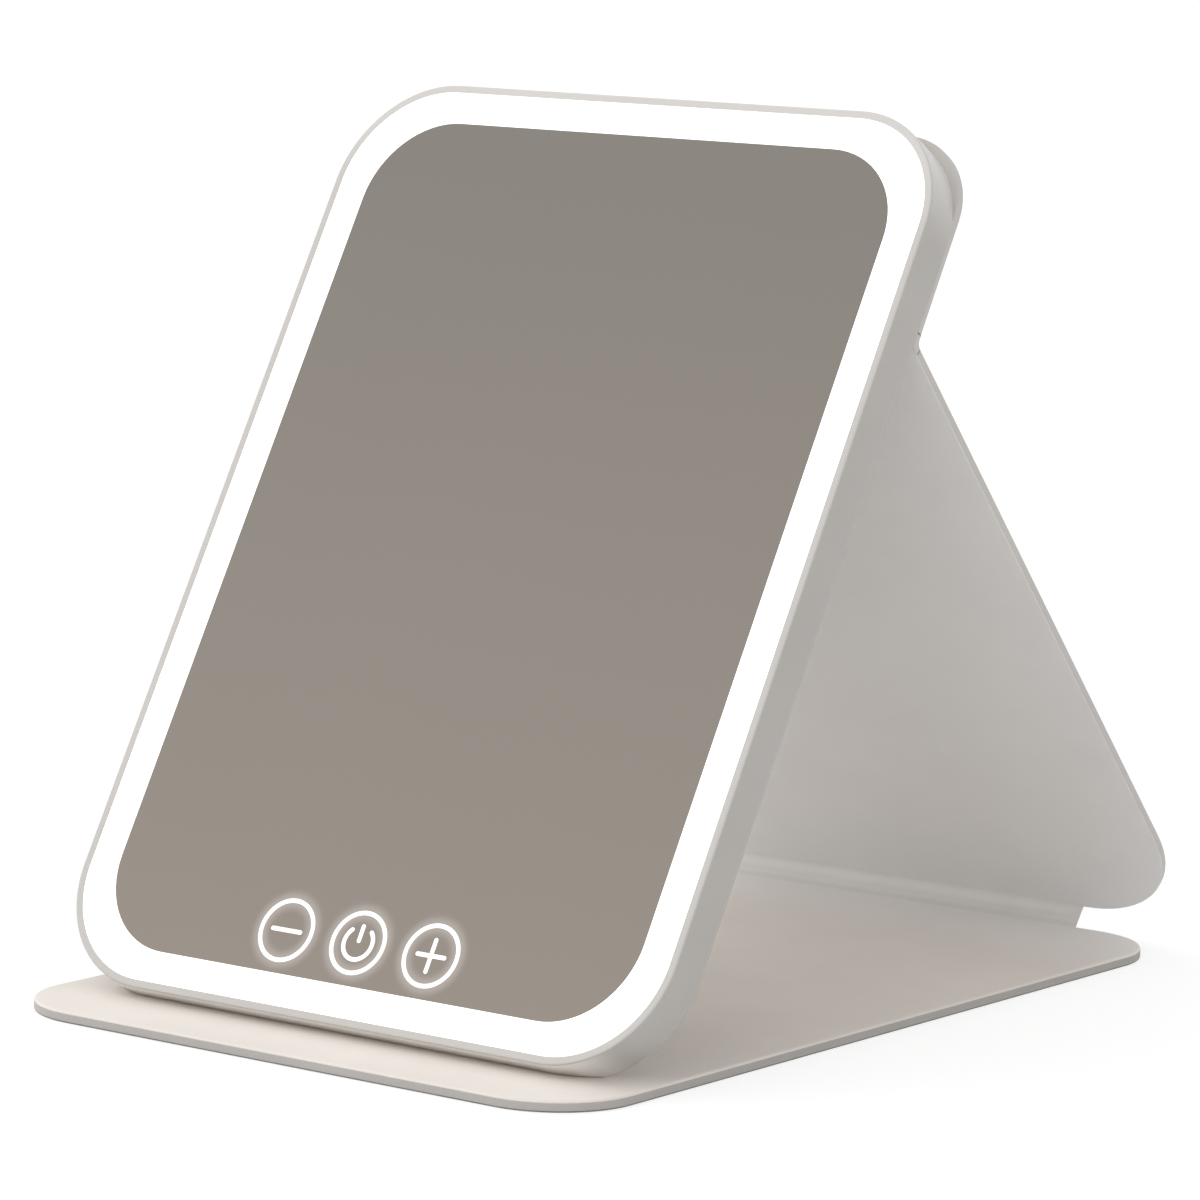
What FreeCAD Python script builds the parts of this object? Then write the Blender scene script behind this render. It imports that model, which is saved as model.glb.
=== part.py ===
import FreeCAD, Part
import Sketcher
import math
import os

# Folding makeup mirror with a lit band, standing as a tent on its own leather cover.
# Millimetres. Origin at the centre of the base cover's underside, X to the right as seen
# from the front, Y to the back, Z up.

doc = FreeCAD.newDocument("FoldingMirror")
sheet = doc.addObject("Spreadsheet::Sheet", "Sizes")

SIZES = (
    # housing
    ("body_width", "160"),
    ("body_height", "219"),
    ("body_depth", "10"),
    ("body_corner", "25.5"),
    ("rim", "1.8"),
    ("back_wall", "1.4"),
    ("foot_flat", "4.4"),
    ("foot_rib_depth", "1.6"),
    ("foot_rib_height", "1.2"),
    ("stand_tilt", "29.4"),
    # general clearances
    ("fit_gap", "0.3"),
    ("foot_gap", "0.2"),
    ("cut_overrun", "2"),
    # mirror and light
    ("mirror_inset", "9.5"),
    ("mirror_low_inset", "8.8"),
    ("mirror_corner", "20"),
    ("mirror_thick", "2.2"),
    ("mirror_recess", "0.2"),
    ("tape_thick", "0.2"),
    ("tape_inset", "1.5"),
    ("diffuser_thick", "1.7"),
    ("diffuser_recess", "0.1"),
    ("frame_inset", "7.2"),
    ("frame_wall", "1.2"),
    ("plate_thick", "1.2"),
    ("strip_inset", "3.2"),
    ("strip_width", "3.2"),
    ("strip_thick", "0.3"),
    ("chip_length", "3.4"),
    ("chip_width", "2.6"),
    ("chip_thick", "0.8"),
    ("chip_pitch", "11"),
    # touch marks
    ("icon_height", "18.4"),
    ("icon_spacing", "19.5"),
    ("icon_radius", "7.2"),
    ("icon_stroke", "1.1"),
    ("icon_thick", "0.15"),
    ("minus_length", "8.4"),
    ("plus_length", "8"),
    ("power_radius", "4.2"),
    ("power_bar", "4.2"),
    ("power_gap_angle", "44"),
    ("gasket_wall", "0.7"),
    ("gasket_end", "1.2"),
    ("well_margin", "0.3"),
    ("touch_board_margin", "0.8"),
    ("touch_board_ends", "2.8"),
    ("board_thick", "0.8"),
    ("lamp_length", "3"),
    ("lamp_width", "1.6"),
    ("lamp_thick", "0.7"),
    ("flex_width", "6"),
    ("flex_thick", "0.2"),
    ("flex_margin", "1.8"),
    ("flex_lap", "4.5"),
    # control board, inlet and cell
    ("control_height", "30"),
    ("control_thick", "1"),
    ("control_low", "34.5"),
    ("control_gap", "0.7"),
    ("boss_height", "0.5"),
    ("boss_radius", "2.2"),
    ("boss_inset", "3.4"),
    ("screw_radius", "0.8"),
    ("screw_head_radius", "1.5"),
    ("screw_head_height", "0.9"),
    ("screw_depth", "2.2"),
    ("screw_gap", "0.15"),
    ("tongue_width", "10.4"),
    ("tongue_length", "3.9"),
    ("socket_width", "8.9"),
    ("socket_height", "3.2"),
    ("socket_length", "7.4"),
    ("socket_wall", "0.35"),
    ("socket_blade", "0.7"),
    ("socket_recess", "0.3"),
    ("notch_gap", "0.8"),
    ("cell_width", "70"),
    ("cell_height", "95"),
    ("cell_thick", "3.6"),
    ("cell_corner", "3"),
    ("cell_right", "15"),
    ("cell_gap", "3"),
    ("cell_pad_inset", "6"),
    ("cell_pad_thick", "0.4"),
    ("lead_radius", "0.5"),
    ("lead_spacing", "2.6"),
    ("lead_inset", "3"),
    ("lead_room", "11.1"),
    ("magnet_length", "22"),
    ("magnet_width", "5"),
    ("magnet_thick", "2.4"),
    ("magnet_margin", "1.5"),
    # base cover
    ("base_margin", "2.5"),
    ("base_length", "231.6"),
    ("base_corner", "20"),
    ("base_thick", "2.6"),
    ("base_magnet_thick", "1"),
    ("skin_thick", "0.6"),
    ("turn_width", "1"),
    ("lining_thick", "0.6"),
    ("front_setback", "18.3"),
    # upper panel, crease and leg
    ("panel_margin", "0.5"),
    ("panel_thick", "2.3"),
    ("panel_corner", "20"),
    ("crease_height", "171.2"),
    ("crease_gap", "1.6"),
    ("fold_thick", "0.8"),
    ("leg_margin", "0.8"),
    ("leg_thick", "2"),
    ("leg_corner", "30"),
    ("leg_foot_back", "8.6"),
    ("leg_foot_up", "4.3"),
    # spine
    ("spine_width", "100"),
    ("spine_thick", "1"),
    ("spine_hinge_back", "1.8"),
    ("spine_start", "2.2"),
    ("spine_end", "3"),
    ("leg_hinge_below", "2.5"),
)
for row, (alias, value) in enumerate(SIZES, start=1):
    sheet.set("A%d" % row, alias)
    sheet.set("B%d" % row, value)
    sheet.setAlias("B%d" % row, alias)
doc.recompute()


# A size that keeps the sheet expression and its present value side by side.
class Size:
    def __init__(self, text, value):
        self.text = text
        self.value = value

    def __add__(self, other):
        return Size("(%s + %s)" % (self.text, other.text), self.value + other.value)

    def __sub__(self, other):
        return Size("(%s - %s)" % (self.text, other.text), self.value - other.value)

    def __mul__(self, share):
        return Size("(%s * %.9f)" % (self.text, share), self.value * share)

    def __neg__(self):
        return self * -1


def size(alias):
    return Size("Sizes." + alias, float(sheet.get(alias)))


def derived(value):
    return Size("%.9f" % value, value)


ZERO = derived(0.0)
half = 0.5


# Sketches, pads and pockets, each bound to the sheet.
def new_body(label):
    made = doc.addObject("PartDesign::Body", label)
    made.Label = label
    made.AllowCompound = True
    return made


def plane_of(owner, role):
    return [feature for feature in owner.Origin.OriginFeatures if feature.Role == role][0]


def bind(target, path, amount):
    target.setExpression(path, amount.text)


def sketch_on(owner, role, offset=(ZERO, ZERO, ZERO)):
    made = owner.newObject("Sketcher::SketchObject", owner.Name + "_sketch")
    made.AttachmentSupport = [(plane_of(owner, role), "")]
    made.MapMode = "FlatFace"
    for axis, amount in zip("xyz", offset):
        if amount is not ZERO:
            bind(made, "AttachmentOffset.Base." + axis, amount)
    return made


# One closed loop. Each corner is (x, y) or (x, y, centre x, centre y, radius, turn): the
# second form runs to the next corner as an arc, turn +1 for anticlockwise.
def add_loop(target, corners):
    edges = []
    count = len(corners)
    for index, corner in enumerate(corners):
        after = corners[(index + 1) % count]
        start = FreeCAD.Vector(corner[0].value, corner[1].value, 0)
        stop = FreeCAD.Vector(after[0].value, after[1].value, 0)
        if len(corner) == 2:
            edges.append((target.addGeometry(Part.LineSegment(start, stop)), 1, 2))
            continue
        middle = FreeCAD.Vector(corner[2].value, corner[3].value, 0)
        circle = Part.Circle(middle, FreeCAD.Vector(0, 0, 1), corner[4].value)
        first = math.atan2(start.y - middle.y, start.x - middle.x)
        last = math.atan2(stop.y - middle.y, stop.x - middle.x)
        if corner[5] > 0:
            edge = target.addGeometry(Part.ArcOfCircle(circle, first, last))
            edges.append((edge, 1, 2))
        else:
            edge = target.addGeometry(Part.ArcOfCircle(circle, last, first))
            edges.append((edge, 2, 1))
    for index, corner in enumerate(corners):
        edge, begin, finish = edges[index]
        following, follow_begin, _ = edges[(index + 1) % count]
        target.addConstraint(Sketcher.Constraint("Coincident", edge, finish, following, follow_begin))
    for index, corner in enumerate(corners):
        edge, begin, _ = edges[index]
        for kind, amount in (("DistanceX", corner[0]), ("DistanceY", corner[1])):
            which = target.addConstraint(Sketcher.Constraint(kind, -1, 1, edge, begin, amount.value))
            bind(target, "Constraints[%d]" % which, amount)
        if len(corner) > 2:
            after = corners[(index + 1) % count]
            across = abs(after[0].value - corner[0].value) > abs(after[1].value - corner[1].value)
            kind, amount = ("DistanceY", corner[3]) if across else ("DistanceX", corner[2])
            which = target.addConstraint(Sketcher.Constraint(kind, -1, 1, edge, 3, amount.value))
            bind(target, "Constraints[%d]" % which, amount)


def add_circle(target, x, y, radius):
    circle = Part.Circle(FreeCAD.Vector(x.value, y.value, 0), FreeCAD.Vector(0, 0, 1), radius.value)
    edge = target.addGeometry(circle)
    for kind, amount in (("DistanceX", x), ("DistanceY", y)):
        which = target.addConstraint(Sketcher.Constraint(kind, -1, 1, edge, 3, amount.value))
        bind(target, "Constraints[%d]" % which, amount)
    which = target.addConstraint(Sketcher.Constraint("Radius", edge, radius.value))
    bind(target, "Constraints[%d]" % which, radius)


def box_loop(left, right, low, high):
    return [(left, low), (right, low), (right, high), (left, high)]


def round_loop(left, right, low, high, radius):
    return [
        (left + radius, low),
        (right - radius, low, right - radius, low + radius, radius, 1),
        (right, low + radius),
        (right, high - radius, right - radius, high - radius, radius, 1),
        (right - radius, high),
        (left + radius, high, left + radius, high - radius, radius, 1),
        (left, high - radius),
        (left, low + radius, left + radius, low + radius, radius, 1),
    ]


# A panel with two square corners on its low edge and two round ones on its high edge.
def arch_loop(left, right, low, high, radius):
    return [
        (left, low),
        (right, low),
        (right, high - radius, right - radius, high - radius, radius, 1),
        (right - radius, high),
        (left + radius, high, left + radius, high - radius, radius, 1),
        (left, high - radius),
    ]


# The same panel with its round corners on the low edge.
def tongue_loop(left, right, low, high, radius):
    return [
        (left + radius, low),
        (right - radius, low, right - radius, low + radius, radius, 1),
        (right, low + radius),
        (right, high),
        (left, high),
        (left, low + radius, left + radius, low + radius, radius, 1),
    ]


def pad(owner, profile, length, both_ways=False):
    made = owner.newObject("PartDesign::Pad", owner.Name + "_pad")
    made.Profile = profile
    bind(made, "Length", length)
    if both_ways:
        made.SideType = "Symmetric"
    profile.Visibility = False
    doc.recompute()
    return made


def pocket(owner, profile, length, both_ways=False, forward=False):
    before = owner.Shape.Volume
    made = owner.newObject("PartDesign::Pocket", owner.Name + "_pocket")
    made.Profile = profile
    bind(made, "Length", length)
    if both_ways:
        made.SideType = "Symmetric"
    made.Reversed = forward
    profile.Visibility = False
    doc.recompute()
    if not owner.Shape.Volume < before:
        raise RuntimeError("a cut in " + owner.Label + " removed nothing")
    return made


def plate(owner, loops, level, thick):
    profile = sketch_on(owner, "XY_Plane", (ZERO, ZERO, level))
    for loop in loops:
        add_loop(profile, loop)
    return pad(owner, profile, thick)


def recess(owner, loops, level, depth):
    profile = sketch_on(owner, "XY_Plane", (ZERO, ZERO, level))
    for loop in loops:
        add_loop(profile, loop)
    return pocket(owner, profile, depth)


pieces = []


def place(owner, placement):
    owner.Placement = placement
    pieces.append(owner)
    return owner


def block(name, left, low, level, width, height, thick, turn=0.0):
    made = doc.addObject("Part::Box", name)
    bind(made, "Length", width)
    bind(made, "Width", height)
    bind(made, "Height", thick)
    corner = FreeCAD.Vector(left.value, low.value, level.value)
    made.Placement = FreeCAD.Placement(corner, FreeCAD.Rotation(FreeCAD.Vector(0, 0, 1), turn))
    return made


def rod(name, start, direction, radius, length):
    made = doc.addObject("Part::Cylinder", name)
    bind(made, "Radius", radius)
    bind(made, "Height", length)
    aim = FreeCAD.Rotation(FreeCAD.Vector(0, 0, 1), FreeCAD.Vector(*direction))
    made.Placement = FreeCAD.Placement(FreeCAD.Vector(*[amount.value for amount in start]), aim)
    return made


def group(label, members):
    made = doc.addObject("Part::Compound", label)
    made.Label = label
    made.Links = members
    doc.recompute()
    return made


# The stand as a triangle in the YZ plane: foot, crease and leg bottom.
tilt = math.radians(size("stand_tilt").value)
base_thick = size("base_thick")
base_length = size("base_length")
body_width = size("body_width")
body_height = size("body_height")
body_depth = size("body_depth")
fold_thick = size("fold_thick")
panel_thick = size("panel_thick")
leg_thick = size("leg_thick")

up_face = FreeCAD.Vector(0, math.sin(tilt), math.cos(tilt))
out_face = FreeCAD.Vector(0, -math.cos(tilt), math.sin(tilt))
foot_level = base_thick.value + size("foot_gap").value
heel_z = foot_level - size("foot_flat").value * math.sin(tilt)
toe_y = -base_length.value * half + size("front_setback").value
heel = FreeCAD.Vector(0, toe_y + body_depth.value * math.cos(tilt), heel_z)
head_origin = heel + up_face * (body_height.value * half)
head_turn = FreeCAD.Rotation(FreeCAD.Vector(1, 0, 0), up_face, out_face, "XYZ")
head_place = FreeCAD.Placement(head_origin, head_turn)

crease_depth = panel_thick - fold_thick * half
crease = heel + up_face * size("crease_height").value - out_face * crease_depth.value
leg_foot = FreeCAD.Vector(
    0,
    base_length.value * half + size("leg_foot_back").value,
    base_thick.value + size("leg_foot_up").value,
)
leg_up = (crease - leg_foot).normalize()
leg_in = FreeCAD.Vector(1, 0, 0).cross(leg_up)
leg_length = derived((crease - leg_foot).Length)
leg_turn = FreeCAD.Rotation(FreeCAD.Vector(1, 0, 0), leg_up, leg_in, "XYZ")
leg_place = FreeCAD.Placement(crease, leg_turn)
leg_middle = leg_thick * half - fold_thick * half
leg_hinge = leg_foot - leg_up * size("leg_hinge_below").value + leg_in * leg_middle.value
base_hinge = FreeCAD.Vector(
    0, base_length.value * half + size("spine_hinge_back").value, base_thick.value * half
)
spine_along = (leg_hinge - base_hinge).normalize()
spine_span = (leg_hinge - base_hinge).Length
spine_up = FreeCAD.Vector(1, 0, 0).cross(spine_along)
spine_turn = FreeCAD.Rotation(FreeCAD.Vector(1, 0, 0), spine_along, spine_up, "XYZ")

# Base cover: a tray of leather turned up round a board, with a lining on top.
fit_gap = size("fit_gap")
skin_thick = size("skin_thick")
lining_thick = size("lining_thick")
turn_width = size("turn_width")
top = body_height * half
side = body_width * half
base_side = side - size("base_margin")
leg_side = side - size("leg_margin")
body_corner = size("body_corner")
base_end = base_length * half
base_corner = size("base_corner")
tray_depth = base_thick - lining_thick
board_thick = tray_depth - skin_thick
home = FreeCAD.Placement()


def base_loop(inset):
    return round_loop(
        -(base_side - inset), base_side - inset, -(base_end - inset), base_end - inset, base_corner - inset
    )


base_skin = new_body("base_skin")
plate(base_skin, [base_loop(ZERO)], ZERO, skin_thick)
plate(base_skin, [base_loop(ZERO), base_loop(turn_width)], skin_thick, board_thick)
place(base_skin, home)

magnet_length = size("magnet_length")
magnet_width = size("magnet_width")
magnet_spread = side - body_corner - size("magnet_margin") - magnet_length * half
foot_centre = derived(heel.y)
base_magnet_thick = size("base_magnet_thick")


def base_magnet_loop(side, margin):
    centre = magnet_spread * side
    reach = magnet_length * half + margin
    return box_loop(
        centre - reach,
        centre + reach,
        foot_centre - magnet_width * half - margin,
        foot_centre + magnet_width * half + margin,
    )


base_board = new_body("base_board")
plate(base_board, [base_loop(turn_width + fit_gap)], skin_thick, board_thick)
recess(base_board, [base_magnet_loop(-1, fit_gap), base_magnet_loop(1, fit_gap)], tray_depth, base_magnet_thick)
place(base_board, home)

base_magnets = new_body("base_magnets")
magnet_level = tray_depth - base_magnet_thick
plate(base_magnets, [base_magnet_loop(-1, ZERO), base_magnet_loop(1, ZERO)], magnet_level, base_magnet_thick)
place(base_magnets, home)

base_lining = new_body("base_lining")
plate(base_lining, [base_loop(ZERO)], tray_depth, lining_thick)
place(base_lining, home)

# Spine: the short leather strip between base and leg.
spine_width = size("spine_width")
spine_thick = size("spine_thick")
spine_run = derived(spine_span) - size("spine_start") - size("spine_end")
spine_skin = new_body("spine_skin")
plate(
    spine_skin,
    [box_loop(-spine_width * half, spine_width * half, size("spine_start"), size("spine_start") + spine_run)],
    -spine_thick * half,
    spine_thick,
)
place(spine_skin, FreeCAD.Placement(base_hinge, spine_turn))


# A leather fold: a band of even thickness round a hinge line, drawn in the YZ plane.
def fold(label, start, hinge, stop, thick, width):
    reach = thick.value * half
    before = (hinge - start).normalize()
    after = (stop - hinge).normalize()
    side_before = FreeCAD.Vector(1, 0, 0).cross(before)
    side_after = FreeCAD.Vector(1, 0, 0).cross(after)
    if side_before.dot(after) < 0:
        side_before = side_before * -1
        side_after = side_after * -1
    inner = (side_before + side_after).normalize()
    inner_reach = reach / inner.dot(side_before)
    a = start + side_before * reach
    b = hinge + inner * inner_reach
    c = stop + side_after * reach
    d = stop - side_after * reach
    e = hinge - side_after * reach
    f = hinge - inner * reach
    g = hinge - side_before * reach
    h = start - side_before * reach
    edges = [
        Part.makeLine(a, b),
        Part.makeLine(b, c),
        Part.makeLine(c, d),
        Part.makeLine(d, e),
        Part.Arc(e, f, g).toShape(),
        Part.makeLine(g, h),
        Part.makeLine(h, a),
    ]
    section = Part.Face(Part.Wire(edges))
    section.translate(FreeCAD.Vector(-width.value * half, 0, 0))
    made = doc.addObject("Part::Feature", label)
    made.Label = label
    made.Shape = section.extrude(FreeCAD.Vector(width.value, 0, 0))
    return place(made, home)


base_edge = FreeCAD.Vector(0, base_end.value, base_thick.value * half)
spine_first = base_hinge + spine_along * size("spine_start").value
spine_last = leg_hinge - spine_along * size("spine_end").value
leg_low = leg_foot + leg_in * leg_middle.value
fold("base_fold_strip", base_edge, base_hinge, spine_first, spine_thick, spine_width)
fold("leg_fold_strip", spine_last, leg_hinge, leg_low, spine_thick, spine_width)
crease_gap = size("crease_gap")
crease_above = crease + up_face * crease_gap.value
crease_below = crease - leg_up * crease_gap.value
fold("head_fold_strip", crease_above, crease, crease_below, fold_thick, leg_side * 2)

# Leg panel. Its own frame has the crease at the origin and Y up the leg.
leg_corner = size("leg_corner")
leg_outer = -fold_thick * half
leg_tray = leg_thick - lining_thick
leg_board_thick = leg_tray - skin_thick


def leg_loop(inset):
    return tongue_loop(
        -(leg_side - inset), leg_side - inset, -(leg_length - inset), -(crease_gap + inset), leg_corner - inset
    )


leg_skin = new_body("leg_skin")
plate(leg_skin, [leg_loop(ZERO)], leg_outer, skin_thick)
plate(leg_skin, [leg_loop(ZERO), leg_loop(turn_width)], leg_outer + skin_thick, leg_board_thick)
place(leg_skin, leg_place)

leg_board = new_body("leg_board")
plate(leg_board, [leg_loop(turn_width + fit_gap)], leg_outer + skin_thick, leg_board_thick)
place(leg_board, leg_place)

leg_lining = new_body("leg_lining")
plate(leg_lining, [leg_loop(ZERO)], leg_outer + leg_tray, lining_thick)
place(leg_lining, leg_place)

# Upper back panel, bonded to the housing above the crease. From here on the frame is the
# head's own: origin at the centre of the housing's back, Y up the face, Z to the front.
panel_low = size("crease_height") - top + crease_gap
panel_margin = size("panel_margin")
panel_corner = size("panel_corner")
panel_tray = panel_thick - skin_thick


def panel_loop(inset):
    edge = panel_margin + inset
    return arch_loop(-(side - edge), side - edge, panel_low + inset, top - edge, panel_corner - inset)


upper_panel_skin = new_body("upper_panel_skin")
plate(upper_panel_skin, [panel_loop(ZERO)], -panel_thick, skin_thick)
plate(upper_panel_skin, [panel_loop(ZERO), panel_loop(turn_width)], -panel_tray, panel_tray)
place(upper_panel_skin, head_place)

upper_panel_board = new_body("upper_panel_board")
plate(upper_panel_board, [panel_loop(turn_width + fit_gap)], -panel_tray, panel_tray)
place(upper_panel_board, head_place)


# Housing: a shallow tray whose wall shows as the thin rim round the light.
def face_loop(inset):
    return round_loop(-(side - inset), side - inset, -(top - inset), top - inset, body_corner - inset)


rim = size("rim")
back_wall = size("back_wall")
cut_overrun = size("cut_overrun")
foot_flat = size("foot_flat")
foot_rise = derived(foot_flat.value * math.tan(tilt))
control_thick = size("control_thick")
control_height = size("control_height")
control_low = size("control_low") - top
control_level = back_wall + size("boss_height")
control_top = control_level + control_thick
frame_inset = size("frame_inset")
frame_wall = size("frame_wall")
frame_inner = frame_inset + frame_wall
control_left = -(side - frame_inner - size("control_gap"))
cell_left = size("cell_right") - size("cell_width") * half
cell_far = size("cell_right") + size("cell_width") * half
control_right = cell_left + size("lead_room")
socket_y = control_low + control_height * half
socket_width = size("socket_width")
socket_height = size("socket_height")
socket_z = control_top + socket_height * half
boss_inset = size("boss_inset")
screw_spots = (
    (control_left + boss_inset, control_low + control_height - boss_inset),
    (control_right - boss_inset, control_low + boss_inset),
)


# A bar with round ends, lying along the first axis of its sketch.
def pill_loop(centre_x, centre_y, wide, tall):
    radius = tall * half
    straight = wide * half - radius
    return [
        (centre_x - straight, centre_y - radius),
        (centre_x + straight, centre_y - radius, centre_x + straight, centre_y, radius, 1),
        (centre_x + straight, centre_y + radius),
        (centre_x - straight, centre_y + radius, centre_x - straight, centre_y, radius, 1),
    ]


housing = new_body("housing")
plate(housing, [face_loop(ZERO)], ZERO, back_wall)
plate(housing, [face_loop(ZERO), face_loop(rim)], back_wall, body_depth - back_wall)
rib_top = rim + size("foot_rib_height") - top
straight_side = side - body_corner
plate(
    housing,
    [box_loop(-straight_side, straight_side, rim * half - top, rib_top)],
    back_wall,
    size("foot_rib_depth"),
)
boss_sketch = sketch_on(housing, "XY_Plane", (ZERO, ZERO, back_wall))
for spot_x, spot_y in screw_spots:
    add_circle(boss_sketch, spot_x, spot_y, size("boss_radius"))
pad(housing, boss_sketch, size("boss_height"))
hole_sketch = sketch_on(housing, "XY_Plane", (ZERO, ZERO, control_level))
screw_gap = size("screw_gap")
for spot_x, spot_y in screw_spots:
    add_circle(hole_sketch, spot_x, spot_y, size("screw_radius") + screw_gap)
pocket(housing, hole_sketch, size("screw_depth") - control_thick + screw_gap)
foot_sketch = sketch_on(housing, "YZ_Plane")
add_loop(
    foot_sketch,
    [
        (-top - foot_rise * half, -foot_flat * half),
        (-top + foot_rise * 1.5, -foot_flat * half),
        (-top - foot_rise * half, foot_flat * 1.5),
    ],
)
pocket(housing, foot_sketch, body_width + cut_overrun, both_ways=True)
slot_sketch = sketch_on(housing, "YZ_Plane", (ZERO, ZERO, -side - cut_overrun))
add_loop(
    slot_sketch, pill_loop(socket_y, socket_z, socket_width + fit_gap * 2, socket_height + fit_gap * 2)
)
pocket(housing, slot_sketch, cut_overrun + rim * 1.5, forward=True)
place(housing, head_place)

# Light frame: a wall between the light channel and the electronics, and the plate that
# carries the glass, with a window for the touch marks.
mirror_recess = size("mirror_recess")
mirror_thick = size("mirror_thick")
mirror_back = body_depth - mirror_recess - mirror_thick
tape_thick = size("tape_thick")
plate_top = mirror_back - tape_thick
plate_low = plate_top - size("plate_thick")
diffuser_thick = size("diffuser_thick")
diffuser_back = body_depth - size("diffuser_recess") - diffuser_thick
icon_y = size("icon_height") - top
icon_spacing = size("icon_spacing")
icon_radius = size("icon_radius")
well_radius = icon_radius + size("well_margin")
gasket_half_height = well_radius + size("gasket_wall")
gasket_half_width = icon_spacing + well_radius + size("gasket_end")
window_half_height = gasket_half_height + fit_gap
window_half_width = gasket_half_width + fit_gap
window = box_loop(
    -window_half_width, window_half_width, icon_y - window_half_height, icon_y + window_half_height
)
tongue_half = size("tongue_width") * half
notch_gap = size("notch_gap")
lead_spacing = size("lead_spacing")
lead_radius = size("lead_radius")
lead_low = control_low + size("lead_inset")

light_frame = new_body("light_frame")
plate(light_frame, [face_loop(frame_inset), face_loop(frame_inner)], back_wall, diffuser_back - back_wall)
plate(light_frame, [face_loop(frame_inset + frame_wall * half), window], plate_low, plate_top - plate_low)
notch_left = -(side - frame_inset + cut_overrun)
notch_right = -(side - frame_inner - fit_gap)
recess(
    light_frame,
    [
        box_loop(notch_left, notch_right, socket_y - tongue_half - notch_gap, socket_y + tongue_half + notch_gap),
        box_loop(
            notch_left,
            notch_right,
            lead_low - lead_radius - notch_gap,
            lead_low + lead_spacing + lead_radius + notch_gap,
        ),
    ],
    plate_low,
    plate_low - back_wall + cut_overrun,
)
place(light_frame, head_place)

# Opal ring over the light channel.
mirror_inset = size("mirror_inset")
mirror_low = size("mirror_low_inset") - top
mirror_corner = size("mirror_corner")


# Outline of the glass, a little nearer to the rim at the bottom, made larger by a margin.
def glass_loop(margin):
    reach = mirror_inset - margin
    return round_loop(-(side - reach), side - reach, mirror_low - margin, top - reach, mirror_corner + margin)


light_diffuser = new_body("light_diffuser")
plate(
    light_diffuser,
    [face_loop(rim + fit_gap), glass_loop(fit_gap)],
    diffuser_back,
    diffuser_thick,
)
place(light_diffuser, head_place)

# Glass and its adhesive sheet.
mirror_glass = new_body("mirror_glass")
plate(mirror_glass, [glass_loop(ZERO)], mirror_back, mirror_thick)
place(mirror_glass, head_place)

tape_inset = size("tape_inset")
window_edge = mirror_inset + tape_inset
mirror_tape = new_body("mirror_tape")
plate(
    mirror_tape,
    [
        round_loop(
            -(side - window_edge),
            side - window_edge,
            icon_y + window_half_height,
            top - window_edge,
            mirror_corner - tape_inset,
        )
    ],
    plate_top,
    tape_thick,
)
place(mirror_tape, head_place)

# The three touch marks, thin lit films on the glass: a ring and a sign in each.
icon_stroke = size("icon_stroke")
icon_thick = size("icon_thick")
icon_level = mirror_back + mirror_thick
bar = icon_stroke * half


def icon(label, column, sign_loops):
    made = new_body(label)
    profile = sketch_on(made, "XY_Plane", (icon_spacing * column, icon_y, icon_level))
    add_circle(profile, ZERO, ZERO, icon_radius)
    add_circle(profile, ZERO, ZERO, icon_radius - icon_stroke)
    for loop in sign_loops:
        add_loop(profile, loop)
    pad(made, profile, icon_thick)
    return place(made, head_place)


icon("minus_icon", -1, [pill_loop(ZERO, ZERO, size("minus_length"), icon_stroke)])

# The plus: four arms with round ends.
arm = size("plus_length") * half - bar
plus_sign = [
    (-arm, -bar),
    (-bar, -bar),
    (-bar, -arm, ZERO, -arm, bar, 1),
    (bar, -arm),
    (bar, -bar),
    (arm, -bar, arm, ZERO, bar, 1),
    (arm, bar),
    (bar, bar),
    (bar, arm, ZERO, arm, bar, 1),
    (-bar, arm),
    (-bar, bar),
    (-arm, bar, -arm, ZERO, bar, 1),
]
icon("plus_icon", 1, [plus_sign])

# The power sign: an open ring with round ends and an upright bar in its gap.
power_radius = size("power_radius")
power_inner = power_radius - icon_stroke
power_middle = power_radius - bar
gap_angle = math.radians(size("power_gap_angle").value)
gap_sine = math.sin(gap_angle)
gap_cosine = math.cos(gap_angle)
end_x = power_middle * gap_sine
end_y = power_middle * gap_cosine
power_arc = [
    (-(power_radius * gap_sine), power_radius * gap_cosine, ZERO, ZERO, power_radius, 1),
    (power_radius * gap_sine, power_radius * gap_cosine, end_x, end_y, bar, 1),
    (power_inner * gap_sine, power_inner * gap_cosine, ZERO, ZERO, power_inner, -1),
    (-(power_inner * gap_sine), power_inner * gap_cosine, -end_x, end_y, bar, 1),
]
power_high = power_middle
power_low = power_middle - size("power_bar") + icon_stroke
power_sign = [
    (bar, power_low),
    (bar, power_high, ZERO, power_high, bar, 1),
    (-bar, power_high),
    (-bar, power_low, ZERO, power_low, bar, 1),
]
icon("power_icon", 0, [power_arc, power_sign])

# Light wells behind the marks, the touch board under them and its lamps.
icon_gasket = new_body("icon_gasket")
gasket_sketch = sketch_on(icon_gasket, "XY_Plane", (ZERO, icon_y, plate_low))
add_loop(
    gasket_sketch, box_loop(-gasket_half_width, gasket_half_width, -gasket_half_height, gasket_half_height)
)
for column in (-1, 0, 1):
    add_circle(gasket_sketch, icon_spacing * column, ZERO, well_radius)
pad(icon_gasket, gasket_sketch, mirror_back - plate_low)
place(icon_gasket, head_place)

pcb_thick = size("board_thick")
touch_half_width = window_half_width + size("touch_board_ends")
touch_half_height = window_half_height + size("touch_board_margin")
touch_board = new_body("touch_board")
touch_level = plate_low - pcb_thick
plate(
    touch_board,
    [box_loop(-touch_half_width, touch_half_width, icon_y - touch_half_height, icon_y + touch_half_height)],
    touch_level,
    pcb_thick,
)
place(touch_board, head_place)

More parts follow.
